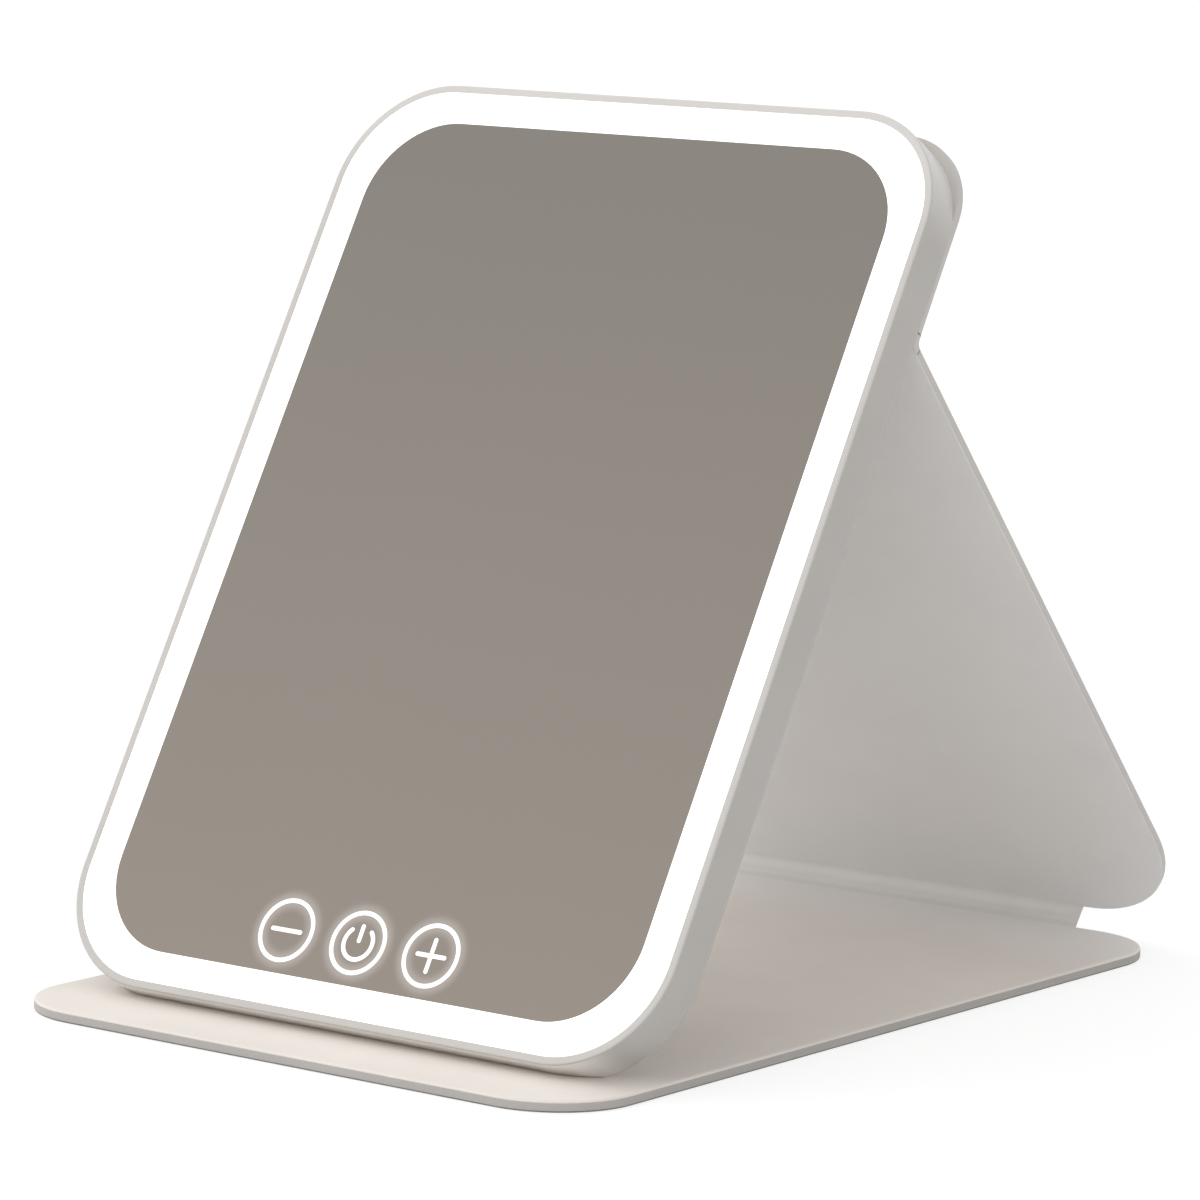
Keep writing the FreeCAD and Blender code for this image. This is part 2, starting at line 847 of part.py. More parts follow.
lamp_length = size("lamp_length")
lamp_width = size("lamp_width")
icon_leds = new_body("icon_leds")
lamp_loops = []
for column in (-1, 0, 1):
    lamp_x = icon_spacing * column
    lamp_loops.append(
        box_loop(
            lamp_x - lamp_length * half,
            lamp_x + lamp_length * half,
            icon_y - lamp_width * half,
            icon_y + lamp_width * half,
        )
    )
plate(icon_leds, lamp_loops, plate_low, size("lamp_thick"))
place(icon_leds, head_place)

# Flat cable, stepped down from the touch board to the control board.
flex_thick = size("flex_thick")
flex_lap = size("flex_lap")
touch_edge = icon_y + touch_half_height
touch_flex = new_body("touch_flex")
flex_width = size("flex_width")
flex_middle = -(touch_half_width - size("flex_margin") - flex_width * half)
flex_sketch = sketch_on(touch_flex, "YZ_Plane", (ZERO, ZERO, flex_middle))
add_loop(
    flex_sketch,
    [
        (touch_edge - flex_lap, touch_level - flex_thick),
        (touch_edge, touch_level - flex_thick),
        (control_low, control_top),
        (control_low + flex_lap, control_top),
        (control_low + flex_lap, control_top + flex_thick),
        (control_low, control_top + flex_thick),
        (touch_edge, touch_level),
        (touch_edge - flex_lap, touch_level),
    ],
)
pad(touch_flex, flex_sketch, flex_width, both_ways=True)
place(touch_flex, head_place)

# Light strip in the channel and its lamps, spaced evenly along the middle of the strip.
strip_inset = size("strip_inset")
strip_width = size("strip_width")
strip_thick = size("strip_thick")
led_strip = new_body("led_strip")
plate(led_strip, [face_loop(strip_inset), face_loop(strip_inset + strip_width)], back_wall, strip_thick)
place(led_strip, head_place)

chip_length = size("chip_length")
chip_width = size("chip_width")
chip_pitch = size("chip_pitch")
strip_middle = strip_inset + strip_width * half
line_side = side - strip_middle
line_top = top - strip_middle
line_corner = body_corner - strip_middle
chip_level = back_wall + strip_thick
run_across = (line_side - line_corner).value * 2
run_up = (line_top - line_corner).value * 2
quarter_turn = math.pi * half
run_corner = line_corner.value * quarter_turn
inlet_clear = tongue_half.value + notch_gap.value + chip_length.value
lead_clear = lead_spacing.value + chip_length.value


# A point and a heading at a distance along the strip, from the left end of its low run.
def along_strip(distance):
    runs = (run_across, run_up, run_across, run_up)
    corner_x = line_side.value - line_corner.value
    corner_y = line_top.value - line_corner.value
    starts = (
        (-corner_x, -line_top.value),
        (line_side.value, -corner_y),
        (corner_x, line_top.value),
        (-line_side.value, corner_y),
    )
    centres = ((corner_x, -corner_y), (corner_x, corner_y), (-corner_x, corner_y), (-corner_x, -corner_y))
    for turns, (run, start, centre) in enumerate(zip(runs, starts, centres)):
        angle = turns * quarter_turn
        if distance <= run:
            return (
                start[0] + distance * math.cos(angle),
                start[1] + distance * math.sin(angle),
                math.degrees(angle),
            )
        distance -= run
        if distance <= run_corner:
            swept = distance / line_corner.value
            aim = angle - quarter_turn + swept
            x = centre[0] + line_corner.value * math.cos(aim)
            y = centre[1] + line_corner.value * math.sin(aim)
            return (x, y, math.degrees(angle + swept))
        distance -= run_corner
    raise RuntimeError("the strip is shorter than its lamps")


loop_length = 2 * run_across + 2 * run_up + 4 * run_corner
chip_count = int(loop_length / chip_pitch.value)
chips = []
for index in range(chip_count):
    x, y, heading = along_strip((index + half) * loop_length / chip_count)
    on_left = x < control_left.value
    near_inlet = abs(y - socket_y.value) < inlet_clear
    near_leads = abs(y - lead_low.value - lead_spacing.value * half) < lead_clear
    if on_left and (near_inlet or near_leads):
        continue
    turn = math.radians(heading)
    back_x = -chip_length.value * half * math.cos(turn) + chip_width.value * half * math.sin(turn)
    back_y = -chip_length.value * half * math.sin(turn) - chip_width.value * half * math.cos(turn)
    chips.append(
        block(
            "chip",
            derived(x + back_x),
            derived(y + back_y),
            chip_level,
            chip_length,
            chip_width,
            size("chip_thick"),
            heading,
        )
    )
place(group("led_chips", chips), head_place)

lead_reach = strip_width * half + frame_inset - strip_inset - strip_width + frame_wall + size("control_gap")
lead_level = chip_level + lead_radius + screw_gap
led_wires = []
for shift in (ZERO, lead_spacing):
    led_wires.append(
        rod("led_wire", (control_left, lead_low + shift, lead_level), (-1, 0, 0), lead_radius, lead_reach)
    )
place(group("led_leads", led_wires), head_place)

# Control board on two bosses, with a tongue that carries the charging inlet.
tongue_left = control_left - size("tongue_length")
control_board = new_body("control_board")
control_sketch = sketch_on(control_board, "XY_Plane", (ZERO, ZERO, control_level))
add_loop(
    control_sketch,
    [
        (control_left, control_low),
        (control_right, control_low),
        (control_right, control_low + control_height),
        (control_left, control_low + control_height),
        (control_left, socket_y + tongue_half),
        (tongue_left, socket_y + tongue_half),
        (tongue_left, socket_y - tongue_half),
        (control_left, socket_y - tongue_half),
    ],
)
for spot_x, spot_y in screw_spots:
    add_circle(control_sketch, spot_x, spot_y, size("screw_radius") + screw_gap)
pad(control_board, control_sketch, control_thick)
place(control_board, head_place)

screws = []
for spot_x, spot_y in screw_spots:
    shank = rod(
        "screw_shank",
        (spot_x, spot_y, control_top - size("screw_depth")),
        (0, 0, 1),
        size("screw_radius"),
        size("screw_depth") + size("screw_head_height") * half,
    )
    cap = rod(
        "screw_head",
        (spot_x, spot_y, control_top),
        (0, 0, 1),
        size("screw_head_radius"),
        size("screw_head_height"),
    )
    screw = doc.addObject("Part::MultiFuse", "screw")
    screw.Shapes = [shank, cap]
    screws.append(screw)
place(group("board_screws", screws), head_place)

# Charging inlet: a drawn shell, closed behind, with its contact blade.
socket_left = -side + size("socket_recess")
socket_wall = size("socket_wall")
socket_length = size("socket_length")
usb_socket = new_body("usb_socket")
shell_sketch = sketch_on(usb_socket, "YZ_Plane", (ZERO, ZERO, socket_left))
add_loop(shell_sketch, pill_loop(socket_y, socket_z, socket_width, socket_height))
add_loop(
    shell_sketch, pill_loop(socket_y, socket_z, socket_width - socket_wall * 2, socket_height - socket_wall * 2)
)
pad(usb_socket, shell_sketch, socket_length)
back_sketch = sketch_on(usb_socket, "YZ_Plane", (ZERO, ZERO, socket_left + socket_length - socket_wall * 2))
add_loop(back_sketch, pill_loop(socket_y, socket_z, socket_width - socket_wall, socket_height - socket_wall))
pad(usb_socket, back_sketch, socket_wall * 2)
blade_sketch = sketch_on(usb_socket, "YZ_Plane", (ZERO, ZERO, socket_left + socket_wall * 2))
blade = size("socket_blade") * half
blade_side = socket_width * half - socket_height * half
add_loop(
    blade_sketch, box_loop(socket_y - blade_side, socket_y + blade_side, socket_z - blade, socket_z + blade)
)
pad(usb_socket, blade_sketch, socket_length - socket_wall * 3)
place(usb_socket, head_place)

# Flat cell on its pad, and its two wires to the board.
cell_low = control_low + control_height + size("cell_gap")
cell_high = cell_low + size("cell_height")
cell_pad_thick = size("cell_pad_thick")
cell_pad_inset = size("cell_pad_inset")
battery_pad = new_body("battery_pad")
plate(
    battery_pad,
    [
        box_loop(
            cell_left + cell_pad_inset,
            cell_far - cell_pad_inset,
            cell_low + cell_pad_inset,
            cell_high - cell_pad_inset,
        )
    ],
    back_wall,
    cell_pad_thick,
)
place(battery_pad, head_place)

battery_cell = new_body("battery_cell")
plate(
    battery_cell,
    [round_loop(cell_left, cell_far, cell_low, cell_high, size("cell_corner"))],
    back_wall + cell_pad_thick,
    size("cell_thick"),
)
place(battery_cell, head_place)

cell_wires = []
lead_x = cell_left + size("cell_corner") + lead_radius
for shift in (ZERO, lead_spacing):
    cell_wires.append(
        rod(
            "cell_wire",
            (lead_x + shift, control_low + control_height, control_level + control_thick * half),
            (0, 1, 0),
            lead_radius,
            size("cell_gap"),
        )
    )
place(group("battery_leads", cell_wires), head_place)

# Bars in the foot, over the ones in the base.
magnet_low = frame_inner + fit_gap - top
foot_magnets = new_body("foot_magnets")
foot_loops = []
for column in (-1, 1):
    centre = magnet_spread * column
    foot_loops.append(
        box_loop(
            centre - magnet_length * half, centre + magnet_length * half, magnet_low, magnet_low + magnet_width
        )
    )
plate(foot_magnets, foot_loops, back_wall, size("magnet_thick"))
place(foot_magnets, head_place)

doc.recompute()
for item in doc.Objects:
    if "Invalid" in item.State or "Error" in item.State:
        raise RuntimeError(item.Name + " did not rebuild")
os.makedirs("parts", exist_ok=True)
for piece in pieces:
    if piece.Shape.isNull() or not piece.Shape.isValid():
        raise RuntimeError(piece.Label + " has no valid shape")
    piece.Shape.exportStep("parts/%s.step" % piece.Label)
    print(piece.Label, len(piece.Shape.Solids), round(piece.Shape.Volume, 1))
spine_angle = math.degrees(math.atan2(spine_along.z, spine_along.y))
leg_angle = math.degrees(math.atan2(leg_up.z, leg_up.y))
head_angle = math.degrees(math.atan2(-up_face.z, -up_face.y))
print("base hinge", base_hinge, "spine angle", spine_angle)
print("leg hinge", leg_hinge, "leg angle", leg_angle, "length", leg_length.value)
print("crease", crease, "head to leg", math.degrees(math.acos((up_face * -1).dot(leg_up * -1))))
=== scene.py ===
import math

import bmesh
import bpy
from mathutils import Matrix, Vector


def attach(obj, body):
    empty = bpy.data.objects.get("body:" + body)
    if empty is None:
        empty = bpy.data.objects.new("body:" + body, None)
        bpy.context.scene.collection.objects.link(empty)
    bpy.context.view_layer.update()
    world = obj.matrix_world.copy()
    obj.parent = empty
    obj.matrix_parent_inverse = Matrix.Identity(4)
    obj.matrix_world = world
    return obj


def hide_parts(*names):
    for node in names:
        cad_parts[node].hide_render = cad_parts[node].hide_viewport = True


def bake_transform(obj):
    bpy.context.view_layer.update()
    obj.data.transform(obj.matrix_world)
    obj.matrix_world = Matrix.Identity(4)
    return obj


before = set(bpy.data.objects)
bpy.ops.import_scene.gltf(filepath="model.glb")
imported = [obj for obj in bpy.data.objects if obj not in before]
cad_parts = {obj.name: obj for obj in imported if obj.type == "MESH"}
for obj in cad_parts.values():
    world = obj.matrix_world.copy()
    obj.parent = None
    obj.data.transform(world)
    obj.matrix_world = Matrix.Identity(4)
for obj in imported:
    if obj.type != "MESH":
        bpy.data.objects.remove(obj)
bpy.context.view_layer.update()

# Base cover: the flat leather panel on the table. A greyboard core is wrapped in smooth coated leather, the
# skin turned up round the edge and a lining glued on top, so the edge shows one fine seam under the lining.
# The skin is a darker copy of the outer leather, painted shade on the edge; the lining is painted paler
# towards the spine, painted light against the shade of the fold; and a thin dark line at the bottom of the
# edge is painted shade in place of the contact shadow.
MM = 0.001


def on_table(x, y, z):
    """A place on the table's axes, turned from mm to metres."""
    return Vector((x, y, z)) * MM


def panel_outline(left, right, low, high, corners, steps=18):
    """Points round a panel, anticlockwise, with a radius for each corner from low left."""
    low_left, low_right, high_right, high_left = corners
    arcs = (
        (left + low_left, low + low_left, low_left, 180),
        (right - low_right, low + low_right, low_right, 270),
        (right - high_right, high - high_right, high_right, 0),
        (left + high_left, high - high_left, high_left, 90),
    )
    points = []
    for x, y, radius, start in arcs:
        for step in range(steps + 1):
            turn = math.radians(start + 90 * step / steps)
            points.append((x + radius * math.cos(turn), y + radius * math.sin(turn)))
    return points


def lofted(name, rings, place, closed=False):
    """A mesh skinned over rings of (x, y, z), capped at both ends or joined into a loop."""
    form = bmesh.new()
    rows = [[form.verts.new(place(*point)) for point in ring] for ring in rings]
    pairs = list(zip(rows, rows[1:]))
    if closed:
        pairs.append((rows[-1], rows[0]))
    else:
        form.faces.new(list(reversed(rows[0])))
        form.faces.new(rows[-1])
    for lower, upper in pairs:
        for index in range(len(lower)):
            after = (index + 1) % len(lower)
            form.faces.new((lower[index], lower[after], upper[after], upper[index]))
    bmesh.ops.remove_doubles(form, verts=form.verts, dist=1e-7)
    bmesh.ops.recalc_face_normals(form, faces=form.faces)
    mesh = bpy.data.meshes.new(name)
    form.to_mesh(mesh)
    form.free()
    return finished(name, mesh)


def finished(name, mesh, sharp=40):
    """An object made of a mesh, smooth except at its sharp edges."""
    mesh.polygons.foreach_set("use_smooth", [True] * len(mesh.polygons))
    mesh.set_sharp_from_angle(angle=math.radians(sharp))
    piece = bpy.data.objects.new(name, mesh)
    bpy.context.scene.collection.objects.link(piece)
    return piece


def finish_of(name, colour, roughness, **sockets):
    """A new material and its tree and surface shader."""
    material = bpy.data.materials.new(name)
    material.use_nodes = True
    tree = material.node_tree
    shader = tree.nodes["Principled BSDF"]
    shader.inputs["Base Color"].default_value = (*colour, 1)
    shader.inputs["Roughness"].default_value = roughness
    for socket, value in sockets.items():
        shader.inputs[socket.replace("_", " ")].default_value = value
    return material, tree, shader


def wired(tree, kind, settings=None, **sockets):
    """A node with its settings, its values and its links given by socket name."""
    node = tree.nodes.new(kind)
    for key, value in (settings or {}).items():
        setattr(node, key, value)
    for key, value in sockets.items():
        key = key.replace("_", " ")
        socket = node.inputs[int(key[1:])] if key[0] == "i" and key[1:].isdigit() else node.inputs[key]
        if isinstance(value, bpy.types.NodeSocket):
            tree.links.new(value, socket)
        else:
            socket.default_value = value
    return node


def spot(tree):
    """Place on the piece, in metres."""
    return wired(tree, "ShaderNodeTexCoord").outputs["Object"]


def speckle(tree, scale, detail, roughness=0.5):
    """A random pattern on the piece, with values from 0 to 1."""
    place = spot(tree)
    noise = wired(tree, "ShaderNodeTexNoise", Vector=place, Scale=scale, Detail=detail, Roughness=roughness)
    return noise.outputs["Fac"]


def tone(tree, shader, amount, low, high, low_at=0.3, high_at=0.7):
    """Colour between two tones of a finish, by a value from 0 to 1."""
    ramp = wired(tree, "ShaderNodeValToRGB", Fac=amount)
    ramp.color_ramp.elements[0].position = low_at
    ramp.color_ramp.elements[1].position = high_at
    ramp.color_ramp.elements[0].color = (*low, 1)
    ramp.color_ramp.elements[1].color = (*high, 1)
    tree.links.new(ramp.outputs["Color"], shader.inputs["Base Color"])


def gloss_between(tree, shader, amount, low, high):
    """Roughness between two limits, by a value from 0 to 1."""
    reach = wired(tree, "ShaderNodeMapRange", Value=amount, To_Min=low, To_Max=high)
    tree.links.new(reach.outputs["Result"], shader.inputs["Roughness"])


def relief(tree, shader, height, strength, depth):
    """Fine relief on a surface, its depth in metres."""
    bump = wired(tree, "ShaderNodeBump", Height=height, Strength=strength, Distance=depth)
    tree.links.new(bump.outputs["Normal"], shader.inputs["Normal"])


def leather(name, low, high, roughness):
    """Coated leather: fine pebbles with pores between them and a faint cloudiness."""
    material, tree, shader = finish_of(name, high, roughness, Specular_IOR_Level=0.35)
    tone(tree, shader, speckle(tree, 34.0, 5.0, 0.6), low, high)
    pebble = wired(
        tree,
        "ShaderNodeTexVoronoi",
        {"feature": "SMOOTH_F1"},
        Vector=spot(tree),
        Scale=1500.0,
        Smoothness=0.7,
    )
    mixed = wired(
        tree,
        "ShaderNodeMath",
        {"operation": "MULTIPLY_ADD"},
        i0=speckle(tree, 4200.0, 2.0),
        i1=0.35,
        i2=pebble.outputs["Distance"],
    )
    gloss_between(tree, shader, pebble.outputs["Distance"], roughness - 0.06, roughness + 0.08)
    relief(tree, shader, mixed.outputs["Value"], 0.22, 0.00006)
    return material


outer_leather = leather("outer_leather", (0.545, 0.518, 0.49), (0.58, 0.553, 0.525), 0.5)
inner_leather = leather("inner_leather", (0.77, 0.715, 0.665), (0.805, 0.75, 0.7), 0.52)
# The base's skin is a darker copy of the outer leather: painted shade on the base's edge.
edge_leather_painted_shade = leather("edge_leather_painted_shade", (0.43, 0.41, 0.385), (0.47, 0.45, 0.425), 0.5)


def faded(tree, place, start, end, first, last):
    """A value that goes softly from first to last between two places in mm."""
    return wired(
        tree,
        "ShaderNodeMapRange",
        {"interpolation_type": "SMOOTHSTEP"},
        Value=place,
        From_Min=start * MM,
        From_Max=end * MM,
        To_Min=first,
        To_Max=last,
    ).outputs["Result"]


def lightened_by_paint(tree, share, pale):
    """Turns the colour of a finish towards a paler one, by a share from 0 to 1, to paint light onto a
    surface.
    """
    surface = tree.nodes["Principled BSDF"].inputs["Base Color"]
    plain = surface.links[0].from_socket
    mix = wired(tree, "ShaderNodeMix", {"data_type": "RGBA"}, i0=share, i6=plain, i7=(*pale, 1))
    tree.links.new(mix.outputs[2], surface)


# Painted light: the base lining turns paler towards the spine, against the shade there from the fold and the
# leg.
LINING_PAINTED_LIGHT = (0.9, 0.882, 0.868)
PAINTED_LIGHT_FROM = 70.0
PAINTED_LIGHT_TO = 118.0
PAINTED_LIGHT_SHARE = 0.85
tree = inner_leather.node_tree
along = wired(tree, "ShaderNodeSeparateXYZ", Vector=spot(tree)).outputs["Y"]
lightened_by_paint(tree, faded(tree, along, PAINTED_LIGHT_FROM, PAINTED_LIGHT_TO, 0.0, PAINTED_LIGHT_SHARE), LINING_PAINTED_LIGHT)

BASE_HALF_WIDTH = 77.5
BASE_HALF_LENGTH = 115.8
BASE_CORNER = 20.0
BASE_SEAM = 2.0
BASE_THICK = 2.6


def base_ring(inset, z):
    """A ring round the base cover, set in from its edge, at a level."""
    x = BASE_HALF_WIDTH - inset
    y = BASE_HALF_LENGTH - inset
    return [(*point, z) for point in panel_outline(-x, x, -y, y, [BASE_CORNER - inset] * 4)]


base_profile = (
    (3.0, 0.0),
    (0.65, 0.0),
    (0.6, 0.0),
    (0.32, 0.06),
    (0.12, 0.2),
    (0.02, 0.42),
    (0.0, 0.6),
    (0.0, BASE_SEAM - 0.12),
    (0.07, BASE_SEAM - 0.05),
    (0.1, BASE_SEAM),
    (0.06, BASE_SEAM + 0.05),
    (0.02, BASE_SEAM + 0.14),
    (0.08, BASE_SEAM + 0.32),
    (0.22, BASE_SEAM + 0.47),
    (0.42, BASE_SEAM + 0.56),
    (0.7, BASE_THICK),
    (0.75, BASE_THICK),
    (3.0, BASE_THICK),
)
base_cover = lofted("base_cover", [base_ring(*step) for step in base_profile], on_table)
# A thin dark line along the bottom of the base's edge: painted shade in place of the contact shadow.
painted_contact_shadow, tree, shader = finish_of("painted_contact_shadow", (0.2, 0.19, 0.18), 0.6)
shadow_line_speckle = speckle(tree, 600.0, 3.0)
tone(tree, shader, shadow_line_speckle, (0.16, 0.15, 0.14), (0.24, 0.225, 0.21))
SHADOW_LINE_TOP = 0.35
UNDERSIDE = -0.99
for material in (inner_leather, edge_leather_painted_shade, painted_contact_shadow):
    base_cover.data.materials.append(material)
for face in base_cover.data.polygons:
    height = face.center.z / MM
    if height > BASE_SEAM:
        face.material_index = 0
    elif height < SHADOW_LINE_TOP and face.normal.z > UNDERSIDE:
        face.material_index = 2
    else:
        face.material_index = 1
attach(base_cover, "base")
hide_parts("base_skin", "base_lining")

# Boards: grey recycled board that keeps the base, the leg and the upper panel flat and stiff. Each
# is die cut to its panel and glued in under the leather.
board, tree, shader = finish_of("grey_board", (0.34, 0.32, 0.29), 0.85)
fibres = speckle(tree, 420.0, 8.0, 0.7)
tone(tree, shader, fibres, (0.26, 0.245, 0.22), (0.42, 0.4, 0.365))
relief(tree, shader, fibres, 0.3, 0.0001)


def dress(material, *nodes):
    """Gives CAD nodes a finish."""
    for node in nodes:
        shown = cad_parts[node].data
        shown.materials.clear()
        shown.materials.append(material)


dress(board, "base_board", "leg_board", "upper_panel_board")

# Magnets: nickel-plated bars let into the base board and glued into the mirror's foot, which
# hold the foot on the base.
nickel, tree, shader = finish_of("nickel_plate", (0.72, 0.7, 0.66), 0.28, Metallic=1.0)
plating = speckle(tree, 900.0, 4.0)
tone(tree, shader, plating, (0.62, 0.6, 0.56), (0.76, 0.74, 0.7))
gloss_between(tree, shader, plating, 0.2, 0.36)
dress(nickel, "base_magnets", "foot_magnets")

# Spine: skin and lining run on past the boards as one soft strip, narrower than the panels,
# that bends up from the base and turns sharply at the bottom of the leg. It is tucked a little
# way into both panels, level with their faces, and its ends are cut on a slant.
LEG_ANGLE = math.radians(131.9262)
LEG_LENGTH = 190.8037
LEG_OUTER = -0.4
LEG_INNER = 1.6
CREASE = Vector((0, -3.08983, 148.85911))
leg_up = Vector((0, math.cos(LEG_ANGLE), math.sin(LEG_ANGLE)))
leg_in = Vector((1, 0, 0)).cross(leg_up)


def on_leg(x, y, z):
    """A place on the leg's own axes: across, up to the crease, and inwards."""
    return (CREASE + Vector((x, 0, 0)) + leg_up * y + leg_in * z) * MM


BEND_STEPS = 12


def bent_path(points, radii):
    """A line through points with rounded corners, with equal steps in each straight and bend."""
    bends = []
    for before, corner, after, radius in zip(points, points[1:], points[2:], radii):
        incoming = (corner - before).normalized()
        outgoing = (after - corner).normalized()
        turn = incoming.angle(outgoing)
        first = corner - incoming * radius * math.tan(turn / 2)
        middle = corner + (outgoing - incoming).normalized() * (radius / math.cos(turn / 2))
        axis = incoming.cross(outgoing).normalized()
        spokes = [Matrix.Rotation(turn * step / BEND_STEPS, 3, axis) for step in range(BEND_STEPS + 1)]
        bends.append([middle + spoke @ (first - middle) for spoke in spokes])
    line = [points[0]]
    for bend in bends + [[points[-1]]]:
        start = line[-1]
        line += [start.lerp(bend[0], step / BEND_STEPS) for step in range(1, BEND_STEPS)]
        line += bend
    return line


def crossing(point, way, other, other_way):
    """Where two lines in the YZ plane meet."""
    gap = other - point
    share = (gap.y * other_way.z - gap.z * other_way.y) / (way.y * other_way.z - way.z * other_way.y)
    return point + way * share


def strip_between(name, inner, outer, reach, left_extra=0.0, across=24):
    """A leather strip between two faces given as lines in the YZ plane. Its side edges are rounded
    and as far out at each point as its reach there, the left one by a little more."""
    rounding = ((0.0, 0.62), (0.06, 0.86), (0.2, 1.0), (0.4, 1.0))
    rings = []
    for above, below in zip(inner, outer):
        middle = (above + below) / 2
        half = (above - below) / 2
        ring = []
        for face in (half, -half):
            edge = []
            for inset, share in rounding:
                point = middle + face * share
                edge.append(point + Vector((reach(point) - inset, 0, 0)))
            row = [Vector((-left_extra - point.x, point.y, point.z)) for point in edge]
            row += [row[-1].lerp(edge[-1], step / across) for step in range(1, across)]
            row += reversed(edge)
            ring += row if face is half else reversed(row)
        rings.append([tuple(point) for point in ring])
    return lofted(name, rings, on_table)


TUCK = 1.0
LEVEL_GAP = 0.006
SPINE_THICK = 1.1
SPINE_REACH = 51.14
SPINE_LEFT_EXTRA = 3.6
SPINE_DRAWN_IN = 0.523
SPINE_LET_OUT = 0.373
INNER_BENDS = (6.0, 2.0)
OUTER_BENDS = (4.0, 2.2)
base_bend = Vector((0, 117.6, 1.3))
leg_bend = Vector((0, 125.624, 4.639))
spine_way = (leg_bend - base_bend).normalized()
spine_in = Vector((1, 0, 0)).cross(spine_way)


def spine_face(base_level, spine_level, leg_level, radii):
    """One face of the strip, from inside the base to inside the leg."""
    first = Vector((0, BASE_HALF_LENGTH - TUCK, base_level))
    last = on_leg(0, TUCK - LEG_LENGTH, leg_level) / MM
    on_spine = leg_bend + spine_in * spine_level
    low_corner = crossing(first, Vector((0, 1, 0)), on_spine, spine_way)
    high_corner = crossing(last, leg_up, on_spine, spine_way)
    return bent_path([first, low_corner, high_corner, last], radii)


def spine_reach(point):
    """The ends slant in from the base towards the turn at the leg."""
    back = point.y - BASE_HALF_LENGTH
    return SPINE_REACH - SPINE_DRAWN_IN * back + SPINE_LET_OUT * (point.z - BASE_THICK)


spine_inner = spine_face(BASE_THICK - LEVEL_GAP, SPINE_THICK / 2, LEG_INNER - LEVEL_GAP, INNER_BENDS)
spine_outer = spine_face(LEVEL_GAP, -SPINE_THICK / 2, LEG_OUTER + LEVEL_GAP, OUTER_BENDS)
middle_step = len(spine_inner) // 2
base_half = (spine_inner[: middle_step + 1], spine_outer[: middle_step + 1])
leg_half = (spine_inner[middle_step:], spine_outer[middle_step:])
base_fold = strip_between("base_fold", *base_half, spine_reach, SPINE_LEFT_EXTRA)
leg_fold = strip_between("leg_fold", *leg_half, spine_reach, SPINE_LEFT_EXTRA)
# The spine's leather is paler than the base lining: painted light against the shade in the fold.
spine_leather_painted_light = leather("spine_leather_painted_light", (0.82, 0.802, 0.783), (0.85, 0.832, 0.813), 0.52)
inner_side = Vector((0, -1, 0.35))
INNER_FACING = 0.1
for strip in (base_fold, leg_fold):
    strip.data.materials.append(spine_leather_painted_light)
    strip.data.materials.append(outer_leather)
    for face in strip.data.polygons:
        face.material_index = 0 if face.normal.dot(inner_side) > INNER_FACING else 1
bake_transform(base_fold)
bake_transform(leg_fold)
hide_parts("base_fold_strip", "spine_skin")
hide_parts("leg_fold_strip")

# Leg: the back panel that props the mirror, built like the base, with large round corners at the bottom and
# a straight top edge at the crease. Its lining is a paler, greyer leather, and part of its paleness is
# painted light against the shade between the leg and the mirror.
LEG_HALF_WIDTH = 79.2
LEG_CORNER = 30.0
LEG_TOP = -1.6
LINING_EDGE = 0.15
SQUARE_CORNER = 0.3


def leg_ring(inset, z):
    """A ring round the leg, set in from its edge, at a level."""
    x = LEG_HALF_WIDTH - inset
    corners = (LEG_CORNER - inset, LEG_CORNER - inset, SQUARE_CORNER, SQUARE_CORNER)
    return [(*point, z) for point in panel_outline(-x, x, -LEG_LENGTH + inset, LEG_TOP, corners)]


leg_profile = (
    (3.0, LEG_OUTER),
    (0.55, LEG_OUTER),
    (0.5, LEG_OUTER),
    (0.26, LEG_OUTER + 0.06),
    (0.09, LEG_OUTER + 0.2),
    (0.0, LEG_OUTER + 0.45),
    (0.0, LEG_INNER - 0.35),
    (0.02, LEG_INNER - 0.21),
    (0.09, LEG_INNER - 0.1),
    (0.2, LEG_INNER - 0.03),
    (0.35, LEG_INNER),
    (0.4, LEG_INNER),
    (3.0, LEG_INNER),
)
leg_panel = lofted("leg_panel", [leg_ring(*step) for step in leg_profile], on_leg)
# The leg lining is a paler, greyer leather, partly painted light against the shade between leg and mirror.
pale_lining_painted_light = leather("pale_lining_painted_light", (0.88, 0.868, 0.856), (0.91, 0.898, 0.886), 0.52)
leg_panel.data.materials.append(pale_lining_painted_light)
leg_panel.data.materials.append(outer_leather)
for face in leg_panel.data.polygons:
    depth = (face.center / MM - CREASE).dot(leg_in)
    face.material_index = 1 if depth < LEG_INNER - LINING_EDGE else 0
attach(leg_panel, "leg")
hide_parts("leg_skin", "leg_lining")

# Crease: skin and lining pressed together into a soft leather hinge between the leg and the
# upper panel, level with both and tucked a little way into each.
TILT = math.radians(29.4)
HEAD_ORIGIN = Vector((0, -35.0339, 96.0379))
face_up = Vector((0, math.sin(TILT), math.cos(TILT)))
face_out = Vector((0, -math.cos(TILT), math.sin(TILT)))


def on_head(x, y, z):
    """A place on the mirror's own axes: across, up and out."""
    return (HEAD_ORIGIN + Vector((x, 0, 0)) + face_up * y + face_out * z) * MM


PANEL_HALF_WIDTH = 79.5
CREASE_GAP = 1.6
CREASE_TUCK = 0.5
CREASE_INNER_BEND = 0.9
CREASE_OUTER_BEND = 1.8
FRONT_FACING = -0.2
END_FACING = 0.5
PANEL_FRONT = 1.9
crease_start = CREASE - leg_up * CREASE_GAP
crease_end = CREASE + face_up * CREASE_GAP


